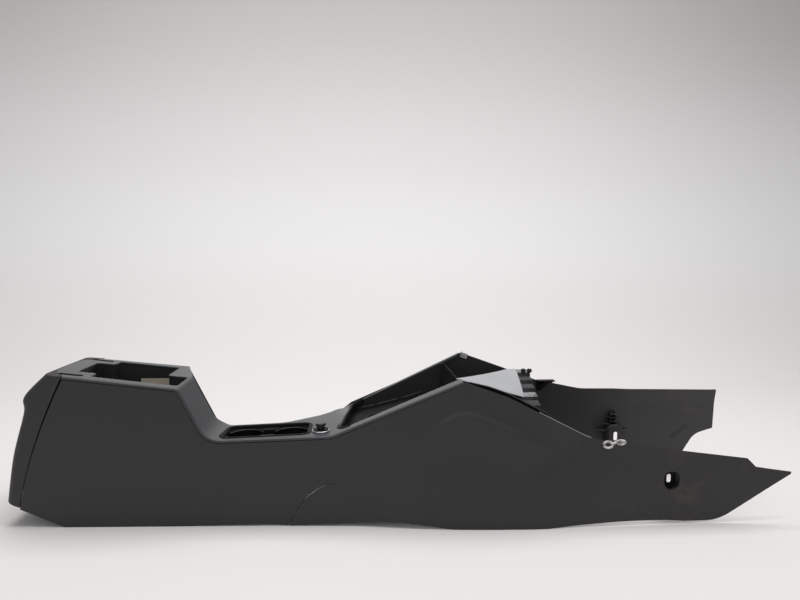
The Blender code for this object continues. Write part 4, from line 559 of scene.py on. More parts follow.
def pushedLeft(loop, reach):
    # a closed loop with every side moved to its left by its own reach
    moved = []
    for index, point in enumerate(loop):
        into = (point - loop[index - 1]).normalized()
        out = (loop[(index + 1) % len(loop)] - point).normalized()
        before, after = reach[index - 1], reach[index]
        leftIn, leftOut = Vector((-into.y, into.x)), Vector((-out.y, out.x))
        cross = into.cross(out)
        if abs(cross) < 0.25:
            moved.append(point + (leftIn + leftOut).normalized() * (before + after) / 2)
        else:
            slide = (leftOut * after - leftIn * before).cross(out) / cross
            moved.append(point + leftIn * before + into * slide)
    return moved


def roundedPlate(loops, wall, parts=4):
    # a flat plate under z 0 whose loops (points, reach of the rounding, depth of the edge) keep it on
    # their left
    bm = bmesh.new()
    tops, unders = [], []
    for points, reach, depth in loops:
        radii = [(reach[index - 1] + reach[index]) / 2 for index in range(len(points))]
        full = pushedLeft(points, reach)
        flat = pushedLeft(points, [r + 0.7 for r in reach])
        deep = pushedLeft(points, [min(r, wall) + 0.3 for r in reach])

        def ring(share, heights, target=full):
            return [(*p.lerp(q, share), z) for p, q, z in zip(points, target, heights)]
        chain = [ring(1, [-depth] * len(points), deep), ring(0, [-depth] * len(points))]
        for part in range(parts + 1):
            turn = math.pi / 2 * part / parts
            chain.append(ring(1 - math.cos(turn), [-r * (1 - math.sin(turn)) for r in radii]))
        chain.append(ring(1, [0] * len(points), flat))
        if depth > wall + 0.2:
            chain.insert(0, ring(1, [-wall] * len(points), deep))
        skinned(bm, chain)
        tops.append(flat)
        unders.append(deep)
    filled(bm, tops, 0)
    filled(bm, unders, -wall)
    bmesh.ops.remove_doubles(bm, verts=bm.verts, dist=0.01)
    bmesh.ops.recalc_face_normals(bm, faces=bm.faces)
    return bm


def cutAcross(bm, axis, places):
    # edges across the mesh at the places along an axis
    normal = Vector([float(index == axis) for index in range(3)])
    for place in places:
        bmesh.ops.bisect_plane(bm, geom=bm.verts[:] + bm.edges[:] + bm.faces[:], dist=0.05,
                               plane_co=normal * place, plane_no=normal)


def roundEdges(bm, width, segments=2, angle=50, pick=None):
    edges = [edge for edge in bm.edges if edge.is_manifold
             and edge.calc_face_angle() > math.radians(angle)
             and (pick is None or pick((edge.verts[0].co + edge.verts[1].co) / 2))]
    bmesh.ops.bevel(bm, geom=edges, offset=width, offset_type='OFFSET', segments=segments,
                    profile=0.5, affect='EDGES', clamp_overlap=False, material=-1)
    return bm


def softened(name, node, finish, width, segments, slot, moved):
    # a merged copy of a solid, moved where asked and with its edges rounded, which stands for it
    bm = bmesh.new()
    bm.from_mesh(nodes[node].data)
    bmesh.ops.scale(bm, vec=(1 / mm, 1 / mm, 1 / mm), verts=bm.verts)
    bmesh.ops.remove_doubles(bm, verts=bm.verts, dist=0.01)
    bmesh.ops.dissolve_limit(bm, angle_limit=math.radians(0.8), verts=bm.verts, edges=bm.edges)
    for vert in bm.verts:
        vert.co = moved(vert.co) if moved else vert.co
    roundEdges(bm, width, segments, 38)
    return intoPiece(bm, name, finish, slot=slot, replaced=(node,))


def cutBy(piece, tool):
    # takes a tool's space out of a finished piece
    step = piece.modifiers.new("cut", 'BOOLEAN')
    step.object = tool
    step.solver = 'EXACT'
    graph = bpy.context.evaluated_depsgraph_get()
    made = bpy.data.meshes.new_from_object(piece.evaluated_get(graph))
    piece.modifiers.clear()
    piece.data = made
    bpy.data.objects.remove(tool)
    return piece


def plainTool(bm):
    # the mesh as a tool for cutBy
    bmesh.ops.scale(bm, vec=(mm, mm, mm), verts=bm.verts)
    bmesh.ops.recalc_face_normals(bm, faces=bm.faces)
    mesh = bpy.data.meshes.new("tool")
    bm.to_mesh(mesh)
    bm.free()
    tool = bpy.data.objects.new("tool", mesh)
    scene.collection.objects.link(tool)
    return tool


def holeTool(corners, first, last, plan=False):
    # a hole drawn on the side or in plan, as a tool from one depth to another
    bm = bmesh.new()
    loops = [ringOf(bm, [(p.x, p.y, depth) if plan else (p.x, depth, p.y) for p in rounded(corners)])
             for depth in (first, last)]
    bmesh.ops.bridge_loops(bm, edges=loops[0] + loops[1])
    for loop in loops:
        bmesh.ops.contextual_create(bm, geom=loop)
    return plainTool(bm)


# Side panels

sideSet = {
    "columnStep": 3.6,
    "rows": 60,
    "edgeRound": 0.8,
    "seamPull": (-569, 115),
    "seamFoot": (-581.5, 29),
    "heelX": -512,
    "restEnd": -420,
    "arch": ((-235, 5.5), (-190, 3.4), (-105, 7.5), (-25, 10.8), (55, 2.2)),
    "frontRest": (95, 168),
    "wingArch": ((240, 5.5), (310, 8.8), (370, 8.6)),
    "rearZoneEnd": -470,
}
creaseSet = {
    "line": ((-194, -4), (-188, 7), (-181, 20), (-173, 33), (-165, 43), (-156, 50), (-144, 58),
             (-127, 63), (-108, 65), (-80, 66.5), (-50, 67)),
    "height": 1.2, "blend": 9, "decayFrom": 8, "decay": 110, "grooveHalf": 0.6, "grooveDeep": 1.9,
    "ledgeLine": ((-60, 104), (3, 138), (40, 161), (58, 169.5), (72, 171.5), (93, 166.5), (155, 141.5),
                  (186, 129), (215, 116)),
    "ledge": 5.2, "ledgeBlend": 8, "ledgeFrom": 5, "ledgeDecay": 60,
    "wingLine": ((100, 77), (150, 77.5), (185, 80), (216, 91), (243, 108), (253, 122), (261, 133)),
    "valley": 8.5, "valleyAbove": 85, "valleyBelow": 40, "valleyPower": 1.6,
    "foldZ": 129, "foldRear": 390, "foldBlend": 40, "foldTilt": 0.16,
}


def seamPoint(share):
    # the seam between the cover and the panels, from its foot up
    foot = Vector(sideSet["seamFoot"])
    pull = Vector(sideSet["seamPull"])
    top = Vector((form["seamX"], boxHeight(form["seamX"])))
    return foot * (1 - share) ** 2 + pull * 2 * share * (1 - share) + top * share ** 2


def bottomEdge(endX, endZ):
    # the lower edge from the seam's foot to just behind the toe
    heel = rounded([(*sideSet["seamFoot"], 0), (sideSet["heelX"], 0, 18), (sideSet["restEnd"], 0, 0)],
                   closed=False)
    arch = smoothLine([(sideSet["restEnd"], 0), *sideSet["arch"], (sideSet["frontRest"][0], 0)], 6)
    wing = smoothLine([(sideSet["frontRest"][1], 0), *sideSet["wingArch"], (endX, endZ)], 6)
    return [Vector((p.x, max(p.y, 0.0))) for p in heel[:-1] + arch + wing]     # never under the floor


def relief(x, z):
    # how far the pressed features stand off the plain right side
    c = creaseSet
    away, share = distanceTo(creaseLine, x, z)
    step = ease(away / c["blend"] + 0.5) * (1 - ease((away - c["decayFrom"]) / c["decay"]))
    swage = c["height"] * step * (1 - ease((share - 0.5) / 0.5))
    drop, along = distanceTo(ledgeLine, x, z)
    step = ease(drop / c["ledgeBlend"] + 0.5) * (1 - ease((drop - c["ledgeFrom"]) / c["ledgeDecay"]))
    ledge = c["ledge"] * step * ease(along / 0.25) * ease((1 - along) / 0.3)
    wing, share = distanceTo(wingLine, x, z)
    reach = c["valleyBelow"] if wing > 0 else c["valleyAbove"]
    valley = c["valley"] * max(1 - abs(wing) / reach, 0.0) ** c["valleyPower"]
    return swage + ledge - valley * ease(share / 0.5)


def wingFold(x, z):
    # the upper band of the left wing leans inwards
    c = creaseSet
    return -c["foldTilt"] * max(z - c["foldZ"], 0.0) * ease((x - c["foldRear"]) / c["foldBlend"])


creaseLine = smoothLine(creaseSet["line"], 3)
ledgeLine = smoothLine(creaseSet["ledgeLine"], 4)
wingLine = smoothLine(creaseSet["wingLine"], 4)


def sideStations(bottom, top):
    # (foot, head, bow) of each column of a panel, from the seam forward
    marks = sorted({round(p.x, 2) for p in bottom + top if p.x > sideSet["rearZoneEnd"] + 2})
    first, last = sideSet["seamFoot"][0], sideSet["rearZoneEnd"]
    rear = [p.x for p in bottom if p.x < last - 2]
    count = round((last - first) / sideSet["columnStep"])
    rear = sorted(set(rear) | {between(first, last, index / count) for index in range(1, count + 1)})
    stations = []
    for x in rear:
        share = (x - first) / (last - first)
        headX = between(form["seamX"], last, share)
        stations.append((Vector((x, heightAt(bottom, x))), Vector((headX, heightAt(top, headX))),
                         1 - share))
    before = last
    for mark in marks:
        parts = max(1, math.ceil((mark - before) / sideSet["columnStep"]))
        for part in range(1, parts + 1):
            x = between(before, mark, part / parts)
            stations.append((Vector((x, heightAt(bottom, x))), Vector((x, heightAt(top, x))), 0))
        before = mark
    kept = stations[:1]
    for station in stations[1:]:
        if (station[0] - kept[-1][0]).length > 0.35 or (station[1] - kept[-1][1]).length > 0.8:
            kept.append(station)
    return kept


def sidePanel(name, side, bottom, top, finish, replaced, features):
    stations = sideStations(bottom, top)
    rows = [index / sideSet["rows"] for index in range(sideSet["rows"] + 1)]

    def place(station, share):
        foot, head, bow = station
        point = foot.lerp(head, share)
        straight = Vector(sideSet["seamFoot"]).lerp(seamPoint(1), share)
        point = point + (seamPoint(share) - straight) * bow
        half = halfWidth(point.x, point.y) + features(point.x, point.y)
        return (point.x, side * half, point.y)
    bm = stretchedGrid(stations, rows, place)
    if side > 0:
        bmesh.ops.reverse_faces(bm, faces=bm.faces)
    bmesh.ops.solidify(bm, geom=bm.faces[:], thickness=form["panelWall"])
    tip = top[-1].x - 6
    roundEdges(bm, sideSet["edgeRound"], 2, 55, lambda p: p.x < tip)
    return intoPiece(bm, name, finish, replaced=(replaced,), slot="console_plastic")


rightSet = {
    "toe": (464, 5.8), "toeReach": 52, "toeRadius": 70, "tip": (583.5, 77.3),
    "notch": (511, 100), "notchStep": (14, 13.5), "wing": (322, 123), "brow": (138, 194.5),
}
leftSet = {
    "toe": (514, 8.5), "toeReach": 25, "toeRadius": 20, "lip": (541, 34), "hollow": (561, 68),
    "corner": (597.5, 80), "end": (596.5, 156),
    "wing": (330, 159.5), "step": (276, 170.5), "knee": (276, 176.5), "kneeRear": (245, 176.5),
    "brow": (177, 202), "recess": ((-378, 0), (-322, 91), (-160, 91), (-98, 0)),
}


def underTrim(first, last, y=0.0):
    line = [Vector((p.x, p.y - leftDrop(p.x, y))) for p in topLine]
    under = lowered(line, form["skirt"] + form["joint"])
    inside = [p for p in under if first < p.x < last]
    return ([Vector((first, heightAt(under, first)))] + inside
            + [Vector((last, heightAt(under, last)))])


def rightFront():
    # the right panel's upper edge ahead of the trim
    s, crest = rightSet, form["rightCrest"] + form["trimGap"]
    return rounded([(crest, railHeight(crest), 0), (*s["brow"], 120), (*form["knee"], 40),
                    (*s["wing"], 60), (*s["notch"], 3),
                    (s["notch"][0] + s["notchStep"][0], s["notch"][1] - s["notchStep"][1], 4),
                    (*s["tip"], 0)], closed=False)


def lowerEdge(s, *ahead):
    # a panel's whole lower edge, with the corners ahead of its toe
    toeX, toeZ = s["toe"]
    toe = rounded([(toeX - s["toeReach"], toeZ, 0), (toeX, toeZ, s["toeRadius"]), *ahead], closed=False)
    return bottomEdge(toeX - s["toeReach"], toeZ) + toe[1:]


def rightPanel():
    s = rightSet
    bottom = lowerEdge(s, (*s["tip"], 0))
    top = underTrim(form["seamX"], form["rightCrest"] + form["trimGap"] - 0.4) + rightFront()
    end = s["tip"][0] - 0.9
    bottom = [p for p in bottom if p.x < end] + [Vector((end, heightAt(bottom, end)))]
    top = [p for p in top if p.x < end] + [Vector((end, heightAt(top, end)))]
    return sidePanel("rightSide", -1, bottom, top, sidePlastic, "right_side_panel", relief)


def leftPanel():
    s = leftSet
    bottom = lowerEdge(s, (*s["lip"], 8), (*s["hollow"], 34), (*s["corner"], 0))
    crest = form["leftCrest"] + form["trimGap"]
    (rearX, _), dipRear, dipFront, (frontX, _) = s["recess"]
    box = underTrim(form["seamX"], rearX)
    rail = underTrim(frontX, crest - 0.4, 92)
    recess = rounded([(rearX, box[-1].y, 0), (*dipRear, 20), (*dipFront, 25), (frontX, rail[0].y, 0)],
                     closed=False)
    front = rounded([(crest, railHeight(crest), 0), (crest + 10, railHeight(crest) - 1, 6),
                     (*s["brow"], 60), (*s["kneeRear"], 12), (*s["knee"], 0)], closed=False)
    wing = rounded([(s["step"][0] + 0.3, s["step"][1], 0), (*s["wing"], 120), (*s["end"], 0)],
                   closed=False)
    top = box + recess[1:-1] + rail + front + wing
    return sidePanel("leftSide", 1, bottom, top, leftPlastic, "left_side_panel", wingFold)


def creaseGroove():
    # a fine groove along the lower crease, as a tool
    c = creaseSet
    path = [p for p in creaseLine if p.y > -3][:-8]
    rings = []
    for before, point, after in zip(path[:1] + path, path, path[1:] + path[-1:]):
        along = (after - before).normalized()
        across = Vector((-along.y, along.x)) * c["grooveHalf"]
        y = -halfWidth(*point) - relief(*point)
        rings.append([(point.x + across.x * k, y + d, point.y + across.y * k)
                      for k, d in ((-1, -3), (1, -3), (1, c["grooveDeep"]), (-1, c["grooveDeep"]))])
    bm = bmesh.new()
    skinned(bm, rings)
    return plainTool(sealed(bm))


rightSide = cutBy(rightPanel(), creaseGroove())
leftSide = leftPanel()
print("sides pressed:", len(rightSide.data.polygons), len(leftSide.data.polygons))


# Sunken mounting cups in the wings, with their rib trees

mountSet = {
    "faceY": 93, "lip": 1.4, "wall": 2.2, "hole": (80, 140),
    "ribWall": 1.5, "spine": 2.0, "spineGap": 4.6, "spineDepth": 12,
    "ribs": ((79, 36, 15), (91, 20, 14), (97.5, 5.4, 14), (104, 12.5, 12), (110.5, 5.4, 11)),
}
mounts = {
    -1: {"outer": (391, 66.5, 24, 28, 11), "inner": (396.5, 61, 24, 34, 11),
         "slot": (399.6, 60.5, 7.2, 13.5, 3.4), "treeX": 397, "treeTop": 103},
    1: {"outer": (399, 70, 32, 36, 12), "inner": (393, 72.5, 20.6, 40, 10.2),
        "slot": (393.7, 73, 7.4, 16.5, 3.5), "treeX": 393.5, "treeTop": 115},
}


def wingMount(side, name):
    # a cup sunk from the panel's outer face to a flat seat with a slot
    s, m = mountSet, mounts[side]
    outer, inner = oblong(*m["outer"]), oblong(*m["inner"])
    features = relief if side < 0 else wingFold

    def onPanel(shift, depth):
        return [(p.x, side * (halfWidth(p.x, p.y) + features(p.x, p.y) - depth), p.y)
                for p in rounded(grown(outer, shift))]

    def atFace(shift, depth, corners=inner):
        return [(p.x, side * (s["faceY"] + depth), p.y) for p in rounded(grown(corners, shift))]
    wall, slot = s["wall"], oblong(*m["slot"])
    chain = [onPanel(wall, 2.8), onPanel(wall, 0.8), onPanel(s["lip"], 0.0), onPanel(0.7, 0.25),
             onPanel(0.2, 0.9), onPanel(0, 1.8), atFace(-0.5, 1.2), atFace(-1.2, 0.3), atFace(-2.4, 0),
             atFace(0.5, 0, slot), atFace(0, -0.5, slot), atFace(0, 0.5 - wall, slot),
             atFace(0.5, -wall, slot), atFace(1.0, -wall), atFace(1.8, 0.5 - wall),
             atFace(wall, 1.4 - wall)]
    bm = bmesh.new()
    skinned(bm, chain + chain[:1])
    return intoPiece(sealed(bm), name, sidePlastic, slot="console_plastic")


def plate(bm, outline, thickness):
    # a flat plate from an outline in space, thickened along the vector
    ring = ringOf(bm, outline)
    face = bmesh.ops.contextual_create(bm, geom=ring)["faces"]
    pushed = bmesh.ops.extrude_face_region(bm, geom=face)["geom"]
    pushedVerts = [item for item in pushed if isinstance(item, bmesh.types.BMVert)]
    bmesh.ops.translate(bm, vec=thickness, verts=pushedVerts)


def ribTree(side, name):
    # two spines and cross ribs that stiffen the wing over its cup, the ribs painted lit and the spines
    # painted in shade
    s, m = mountSet, mounts[side]
    x, top = m["treeX"], m["treeTop"]
    bars, spines = bmesh.new(), bmesh.new()

    def wallAt(z):
        return halfWidth(x, z) - form["panelWall"] + 0.6
    for z, reach, depth in s["ribs"]:
        if z > top:
            continue
        root, tip = wallAt(z), reach * (0.2 if reach > 6 else 0.9)
        outline = [(x - reach, root), (x + reach, root),
                   (x + tip, root - depth), (x - tip, root - depth)]
        plate(bars, [(u, side * v, z) for u, v in outline], (0, 0, s["ribWall"]))
    foot = m["inner"][1] + m["inner"][3] / 2 - 2
    spine = [(wallAt(foot), foot), (wallAt(foot) - s["spineDepth"], foot), (wallAt(top) - 7, top),
             (wallAt(top), top)]
    for shift in (-1, 1):
        start = x + shift * s["spineGap"] - s["spine"] / 2
        plate(spines, [(start, side * y, z) for y, z in spine], (s["spine"], 0, 0))
    # painted light and shade: lighter plastic for the lit bars, darker plastic for the shaded spines
    for bm, part, finish in ((bars, "Bars", trimPlastic), (spines, "Spines", insertPlastic)):
        bmesh.ops.recalc_face_normals(bm, faces=bm.faces)
        roundEdges(bm, 0.3, 2, 60)
        intoPiece(bm, name + part, finish, slot="console_plastic")


def holeInWing(panel, side):
    hole = grown(oblong(*mounts[side]["outer"]), mountSet["lip"] - 0.1)
    cutBy(panel, holeTool(hole, *(side * depth for depth in mountSet["hole"])))


wings = ((-1, rightSide, "right"), (1, leftSide, "left"))
for side, panel, name in wings:
    holeInWing(panel, side)
for side, _, name in wings:
    wingMount(side, name + "WingCup")
for side, _, name in wings:
    ribTree(side, name + "Rib")
print("wing mounts sunk")


# Upper trim

trimSet = {
    "sideRound": 3.2, "openingRound": 1.6, "endRound": 0.6, "binRound": 1.0, "socketRound": 0.8,
    "rearInset": 3, "rearCorners": ((4, -50, 20), (0, -34, 20)),
    "shiftRightY": -78, "railMargin": 10,
    "shiftRearRight": -119, "shiftRearLeft": -96, "shiftRadius": 16, "leftFrom": -98,
    "recess": ((-353, 5, 10), (-303.5, 3, 8), (-288.5, -7, 8), (-205, -6, 40), (-152, 29, 60),
               (-117, 66, 15)), "recessRear": -378,
    "bin": ((-514, -36), (-486, -36), (-486, -61), (-359, -67), (-359, -3), (-390, -3), (-390, 65),
            (-486, 65), (-486, 40), (-514, 40)),
    "binCorner": 5,
    "cups": ((-296.5, -79), (-162, -79), (-162, -16), (-291, -16)), "cupCorner": 13,
    "hingeSlot": (-532, -497, 61, 10), "wellDepth": 26, "wellWall": 1.4,
    "socket": (-145, -66), "socketRadius": 12.6,
}
binCorners = [(x, y, trimSet["binCorner"]) for x, y in trimSet["bin"]]
cupCorners = [(x, y, trimSet["cupCorner"]) for x, y in trimSet["cups"]]


def railInner(x):
    return halfWidth(x, topHeight(x)) - trimSet["railMargin"]


def sideEdge(first, last, side):
    stations = [first] + [p.x for p in topLine if first < p.x < last] + [last]
    return [Vector((x, side * halfWidth(x, topHeight(x)))) for x in stations]


def rearEdge(shift):
    # the top seam of the rear cover in plan, from the right side to the left
    seamX, inset = form["seamX"], trimSet["rearInset"]
    half = halfWidth(seamX, boxHeight(seamX)) - inset
    middle = form["boxRear"][0] + inset
    corners = [(seamX - shift, -half, 0), (seamX - shift - 1, -half + 2, 3)]
    corners += [(middle + x - shift, y, radius) for x, y, radius in trimSet["rearCorners"]]
    return rounded(corners + [(x, -y, radius) for x, y, radius in reversed(corners)], closed=False)


def recessEdge(frontY):
    # the edge of the hand brake recess in plan
    rearX = trimSet["recessRear"]
    return rounded([(rearX, halfWidth(rearX, topHeight(rearX)), 0), *trimSet["recess"],
                    (trimSet["leftFrom"], frontY, 0)], closed=False)


def shiftOpening():
    # its edge in plan, from the right crest round the rear to the left crest
    s = trimSet
    return rounded([
        (form["rightCrest"], s["shiftRightY"], 0),
        (s["shiftRearRight"], s["shiftRightY"], s["shiftRadius"]),
        (s["shiftRearLeft"], railInner(s["shiftRearLeft"]), s["shiftRadius"] + 6),
        (form["leftCrest"], railInner(form["leftCrest"]), 0)], closed=False)


def overTop(x, y, z):
    # a point at height z over the flat plate, on the bent top
    slopeX = (topHeight(x + 0.6, y) - topHeight(x - 0.6, y)) / 1.2
    slopeY = (topHeight(x, y + 0.6) - topHeight(x, y - 0.6)) / 1.2
    return Vector((x, y, topHeight(x, y))) + Vector((-slopeX, -slopeY, 1)).normalized() * z


def upperTrim():
    s = trimSet
    crest, leftCrest = form["rightCrest"], form["leftCrest"]
    leftFront = sideEdge(s["leftFrom"], leftCrest, 1)
    recess = recessEdge(leftFront[0].y)
    opening = shiftOpening()
    parts = [(sideEdge(form["seamX"], crest, -1), s["sideRound"]),
             ([Vector((crest, -halfWidth(crest, railHeight(crest)))), opening[0]], s["endRound"]),
             (opening, s["openingRound"]), ([opening[-1], leftFront[-1]], s["endRound"]),
             (leftFront[::-1], s["sideRound"]), (recess[::-1], s["openingRound"]),
             (sideEdge(form["seamX"], recess[0].x, 1)[::-1], s["sideRound"]),
             (rearEdge(0)[::-1], s["endRound"])]
    outline, reach = [], []
    for points, radius in parts:
        for p, after in zip(points, points[1:]):
            if (after - p).length > 0.4:
                outline.append(p)
                reach.append(radius)
    loops = [(outline, reach, form["skirt"])]
    turns = [-math.tau * index / 48 for index in range(48)]
    socketX, socketY = s["socket"]
    socket = [Vector((socketX + s["socketRadius"] * math.cos(turn),
                      socketY + s["socketRadius"] * math.sin(turn))) for turn in turns]
    for hole, radius in ((rounded(binCorners)[::-1], s["binRound"]),
                         (rounded(cupCorners)[::-1], s["openingRound"]), (socket, s["socketRound"])):
        loops.append((hole, [radius] * len(hole), form["trimWall"]))
    bm = roundedPlate(loops, form["trimWall"])
    cutAcross(bm, 0, [p.x for p in topLine if form["seamX"] < p.x < leftCrest])
    cutAcross(bm, 0, [-500 + 15 * index for index in range(40)])
    cutAcross(bm, 1, (0, 46))
    for vert in bm.verts:
        vert.co = overTop(*vert.co)
    bmesh.ops.recalc_face_normals(bm, faces=bm.faces)
    trim = intoPiece(bm, "topTrim", trimPlastic, replaced=("upper_trim",), slot="console_plastic")
    rearX, frontX, slotY, slotWidth = s["hingeSlot"]
    for side in (-1, 1):
        slot = oblong((rearX + frontX) / 2, side * slotY, frontX - rearX, slotWidth, 2)
        cutBy(trim, holeTool(slot, 190, 250, True))
        hingeWell(slot, "hingeWell" + ("Right" if side < 0 else "Left"))
    return trim


def hingeWell(slot, name):
    # a dark pocket under a hinge slot
    s = trimSet
    bm = bmesh.new()
    inner, outer = rounded(grown(slot, 0.1)), rounded(grown(slot, s["wellWall"]))
    lid, floor = form["trimWall"] - 0.3, s["wellDepth"]

    def ring(points, depth):
        return [(p.x, p.y, boxHeight(p.x) - depth) for p in points]
    skinned(bm, [ring(outer, floor + s["wellWall"]), ring(outer, lid),
                 ring(inner, lid), ring(inner, floor)])
    return intoPiece(sealed(bm), name, blackPlastic, slot="inner_plastic")


upperTrim()
print("upper trim laid")


# Black beads round the openings, rims of the cups and ribs on the shift opening's wall, the rims and
# ribs in a lighter plastic as painted highlights

beadSet = {
    "cup": ((-3.6, -6), (-3.6, -1.4), (-2.8, 0.2), (-1.0, 1.1), (1.2, 1.2), (2.6, 0.5), (3.2, -0.6)),
    "shift": ((-2.4, -7), (-2.4, -0.3), (-1.7, 0.9), (-0.3, 1.1), (0.7, 0.1), (1.5, 0.1), (2.4, 1.1),
              (3.8, 0.9), (4.6, -0.7)),
    "shiftEnd": -62,
    "cupCentres": ((-261.5, -47.5), (-191.5, -47.5)), "cupRim": 27.8, "rimRadius": 1.0, "rimDrop": 5.5,
    "wallRibs": (((-97, 85.6, 129.0), (-56, 86.4, 137.0)), ((-52, 86.4, 138.6), (-16, 87.4, 147.4)),
                 ((-7, 87.6, 149.2), (25, 88.5, 159.4))),
    "ribRadius": 1.2,
    "binRibsX": (-510, -504, -498, -492), "binRibsY": (45, 51, 57), "binRibFoot": 120,
}


def bead(name, lines, wrap):
    bm = bmesh.new()
    skinned(bm, lines + lines[:1], wrap)
    return intoPiece(sealed(bm), name, blackPlastic, slot="inner_plastic", sharp=60)


bead("cupBead", [[overTop(p.x, p.y, high) for p in rounded(grown(cupCorners, away))]
                 for away, high in beadSet["cup"]], True)
shiftEdge = [p for p in shiftOpening() if p.x < beadSet["shiftEnd"]]
bead("shiftBead", [[overTop(p.x, p.y, high) for p in lowered(shiftEdge, -away)]
                   for away, high in beadSet["shift"]], False)


def cupRimHighlights():
    # painted highlight: lighter plastic on the far arc of each well's rim, where light catches it
    s = beadSet
    bm = bmesh.new()
    for x, y in s["cupCentres"]:
        turns = [math.radians(22 + 4 * index) for index in range(35)]
        path = [(x + s["cupRim"] * math.cos(turn), y + s["cupRim"] * math.sin(turn)) for turn in turns]
        tube(bm, [(u, v, topHeight(u, v) - s["rimDrop"]) for u, v in path], s["rimRadius"])
    return intoPiece(sealed(bm), "cupRimHighlights", trimPlastic, slot="inner_plastic", sharp=60)


def wallRibs():
    # painted highlight: the ribs take the lighter trim plastic, not the surround's own, to show as lit
    # lines
    bm = bmesh.new()
    for path in beadSet["wallRibs"]:
        tube(bm, path, beadSet["ribRadius"])
    return intoPiece(sealed(bm), "wallRibs", trimPlastic, slot="inner_plastic", sharp=60)


def binRibs():
    # upright ribs on the bin's rear left walls
    bm = bmesh.new()
    places = [(x, 39.6) for x in beadSet["binRibsX"]] + [(-485.6, y) for y in beadSet["binRibsY"]]
    for x, y in places:
        tube(bm, [(x, y, beadSet["binRibFoot"]), (x, y, boxHeight(x) - form["trimWall"] - 1)], 0.9, 8)
    return intoPiece(sealed(bm), "binRibs", sidePlastic, slot="console_plastic", sharp=60)


cupRimHighlights()
wallRibs()
binRibs()
print("beads and rims laid")


# Strip inside the right panel's front edge, a painted highlight line along that edge and the spring
# clip on the wing

frontSet = {
    "strip": (78, 197), "stripIn": 7, "stripHigh": 3.6, "stripDeep": 9, "stripWall": 1.6,
    "stripTaper": 4, "lineRadius": 0.9, "marked": (184, 267), "highlightRadius": 0.65,
    "lobes": ((290.6, 121.6, 7.0, 4.4), (311.0, 124.6, 7.2, 2.6)),    # x, z, reach and rise
    "wireRadius": 2.0, "wireY": -113.6, "wireZ": 116, "wireLean": 0.30,
    "bridgeY": (-111.6, -111), "bridgeRadius": 2.2,
    "tongueY": -110.6, "tongueGrow": 0.4, "tongueWall": 1.0,
}


def insideEdge(first, last, inward, high, parts=16):
    # points along the right panel's front edge, moved inwards and up
    line = rightFront()
    path = []
    for index in range(parts + 1):
        x = between(first, last, index / parts)
        z = heightAt(line, x)
        path.append(Vector((x, inward - halfWidth(x, z) - relief(x, z), z + high)))
    return path


def innerStrip():
    # the dark strip with a painted highlight line along its top, and a painted highlight line on the
    # panel's own edge
    s = frontSet
    bm = bmesh.new()
    low = insideEdge(*s["strip"], s["stripIn"], -s["stripDeep"])
    high = insideEdge(*s["strip"], s["stripIn"], s["stripHigh"])
    taper = s["stripTaper"]
    for index, point in enumerate(high[:taper]):
        point.z -= s["stripHigh"] * (1 - index / taper)
    across = Vector((0, s["stripWall"], 0))
    rings = [low, high, [p + across for p in high], [p + across for p in low]]
    skinned(bm, rings + rings[:1], wrap=False)
    intoPiece(sealed(bm), "innerStrip", blackPlastic, slot="inner_plastic")
    # painted highlight: a lighter tube along the strip's top
    stripTop = [p + Vector((0, 0.3, 0)) for p in high]
    # painted highlight: a light grey tube along the panel's edge
    marked = insideEdge(*s["marked"], 1.0, 0.0)
    for name, path, radius, finish in (("innerStripHighlight", stripTop, s["lineRadius"], trimPlastic),
                                       ("edgeHighlight", marked, s["highlightRadius"], edgeHighlightPlastic)):
        bm = bmesh.new()
        tube(bm, path, radius, 8)
        intoPiece(sealed(bm), name, finish, slot="console_plastic", sharp=60)


def springClip():
    # two flattened loops of wire that grip the wing's edge
    s = frontSet
    bm = bmesh.new()
    for x, z, reach, rise in s["lobes"]:
        turns = [math.tau * index / 24 for index in range(25)]
        loop = [(x + reach * math.cos(turn), z + rise * math.sin(turn)) for turn in turns]
        path = [(u, s["wireY"] + (v - s["wireZ"]) * s["wireLean"], v) for u, v in loop]
        tube(bm, path, s["wireRadius"], 8)
    (x, z, reach, _), (afterX, afterZ, afterReach, _) = s["lobes"]
    firstY, lastY = s["bridgeY"]
    bridge = [(x + reach - 1, firstY, z + 1.5), (afterX - afterReach + 1, lastY, afterZ)]
    tube(bm, bridge, s["bridgeRadius"], 8)
    for x, z, reach, rise in s["lobes"]:
        wide, high, lean = reach + s["tongueGrow"], rise + s["tongueGrow"], rise * s["wireLean"]
        turns = [math.tau * index / 20 for index in range(20)]
        ring = [(x + wide * math.cos(turn), s["tongueY"] + lean * math.sin(turn),
                 z + high * math.sin(turn)) for turn in turns]
        plate(bm, ring, (0, s["tongueWall"], 0))
    bmesh.ops.recalc_face_normals(bm, faces=bm.faces)
    return intoPiece(sealed(bm), "springClip", clipMetal, slot="clip_metal",
                     replaced=("edge_spring_clip",), sharp=60)


innerStrip()
springClip()
print("front edge dressed")


# Rear cover

coverSet = {
    "profile": ((-545, 226), (-571, 200), (-579, 186), (-578, 168), (-594, 104), (-603, 37)),
    "corner": 14, "gap": 0.5, "levels": 44, "lidLevels": 4, "flankParts": 3, "arcParts": 12,
    "backParts": 10, "edgeRound": 0.8,
}
coverLine = smoothLine(coverSet["profile"], 8)
seamCurve = [seamPoint(1 - index / 24) for index in range(25)]


def stationAt(line, z):
    for before, after in zip(line, line[1:]):
        if after.y <= z <= before.y:
            return between(before.x, after.x, (z - before.y) / (after.y - before.y))
    return line[0].x if z > line[0].y else line[-1].x


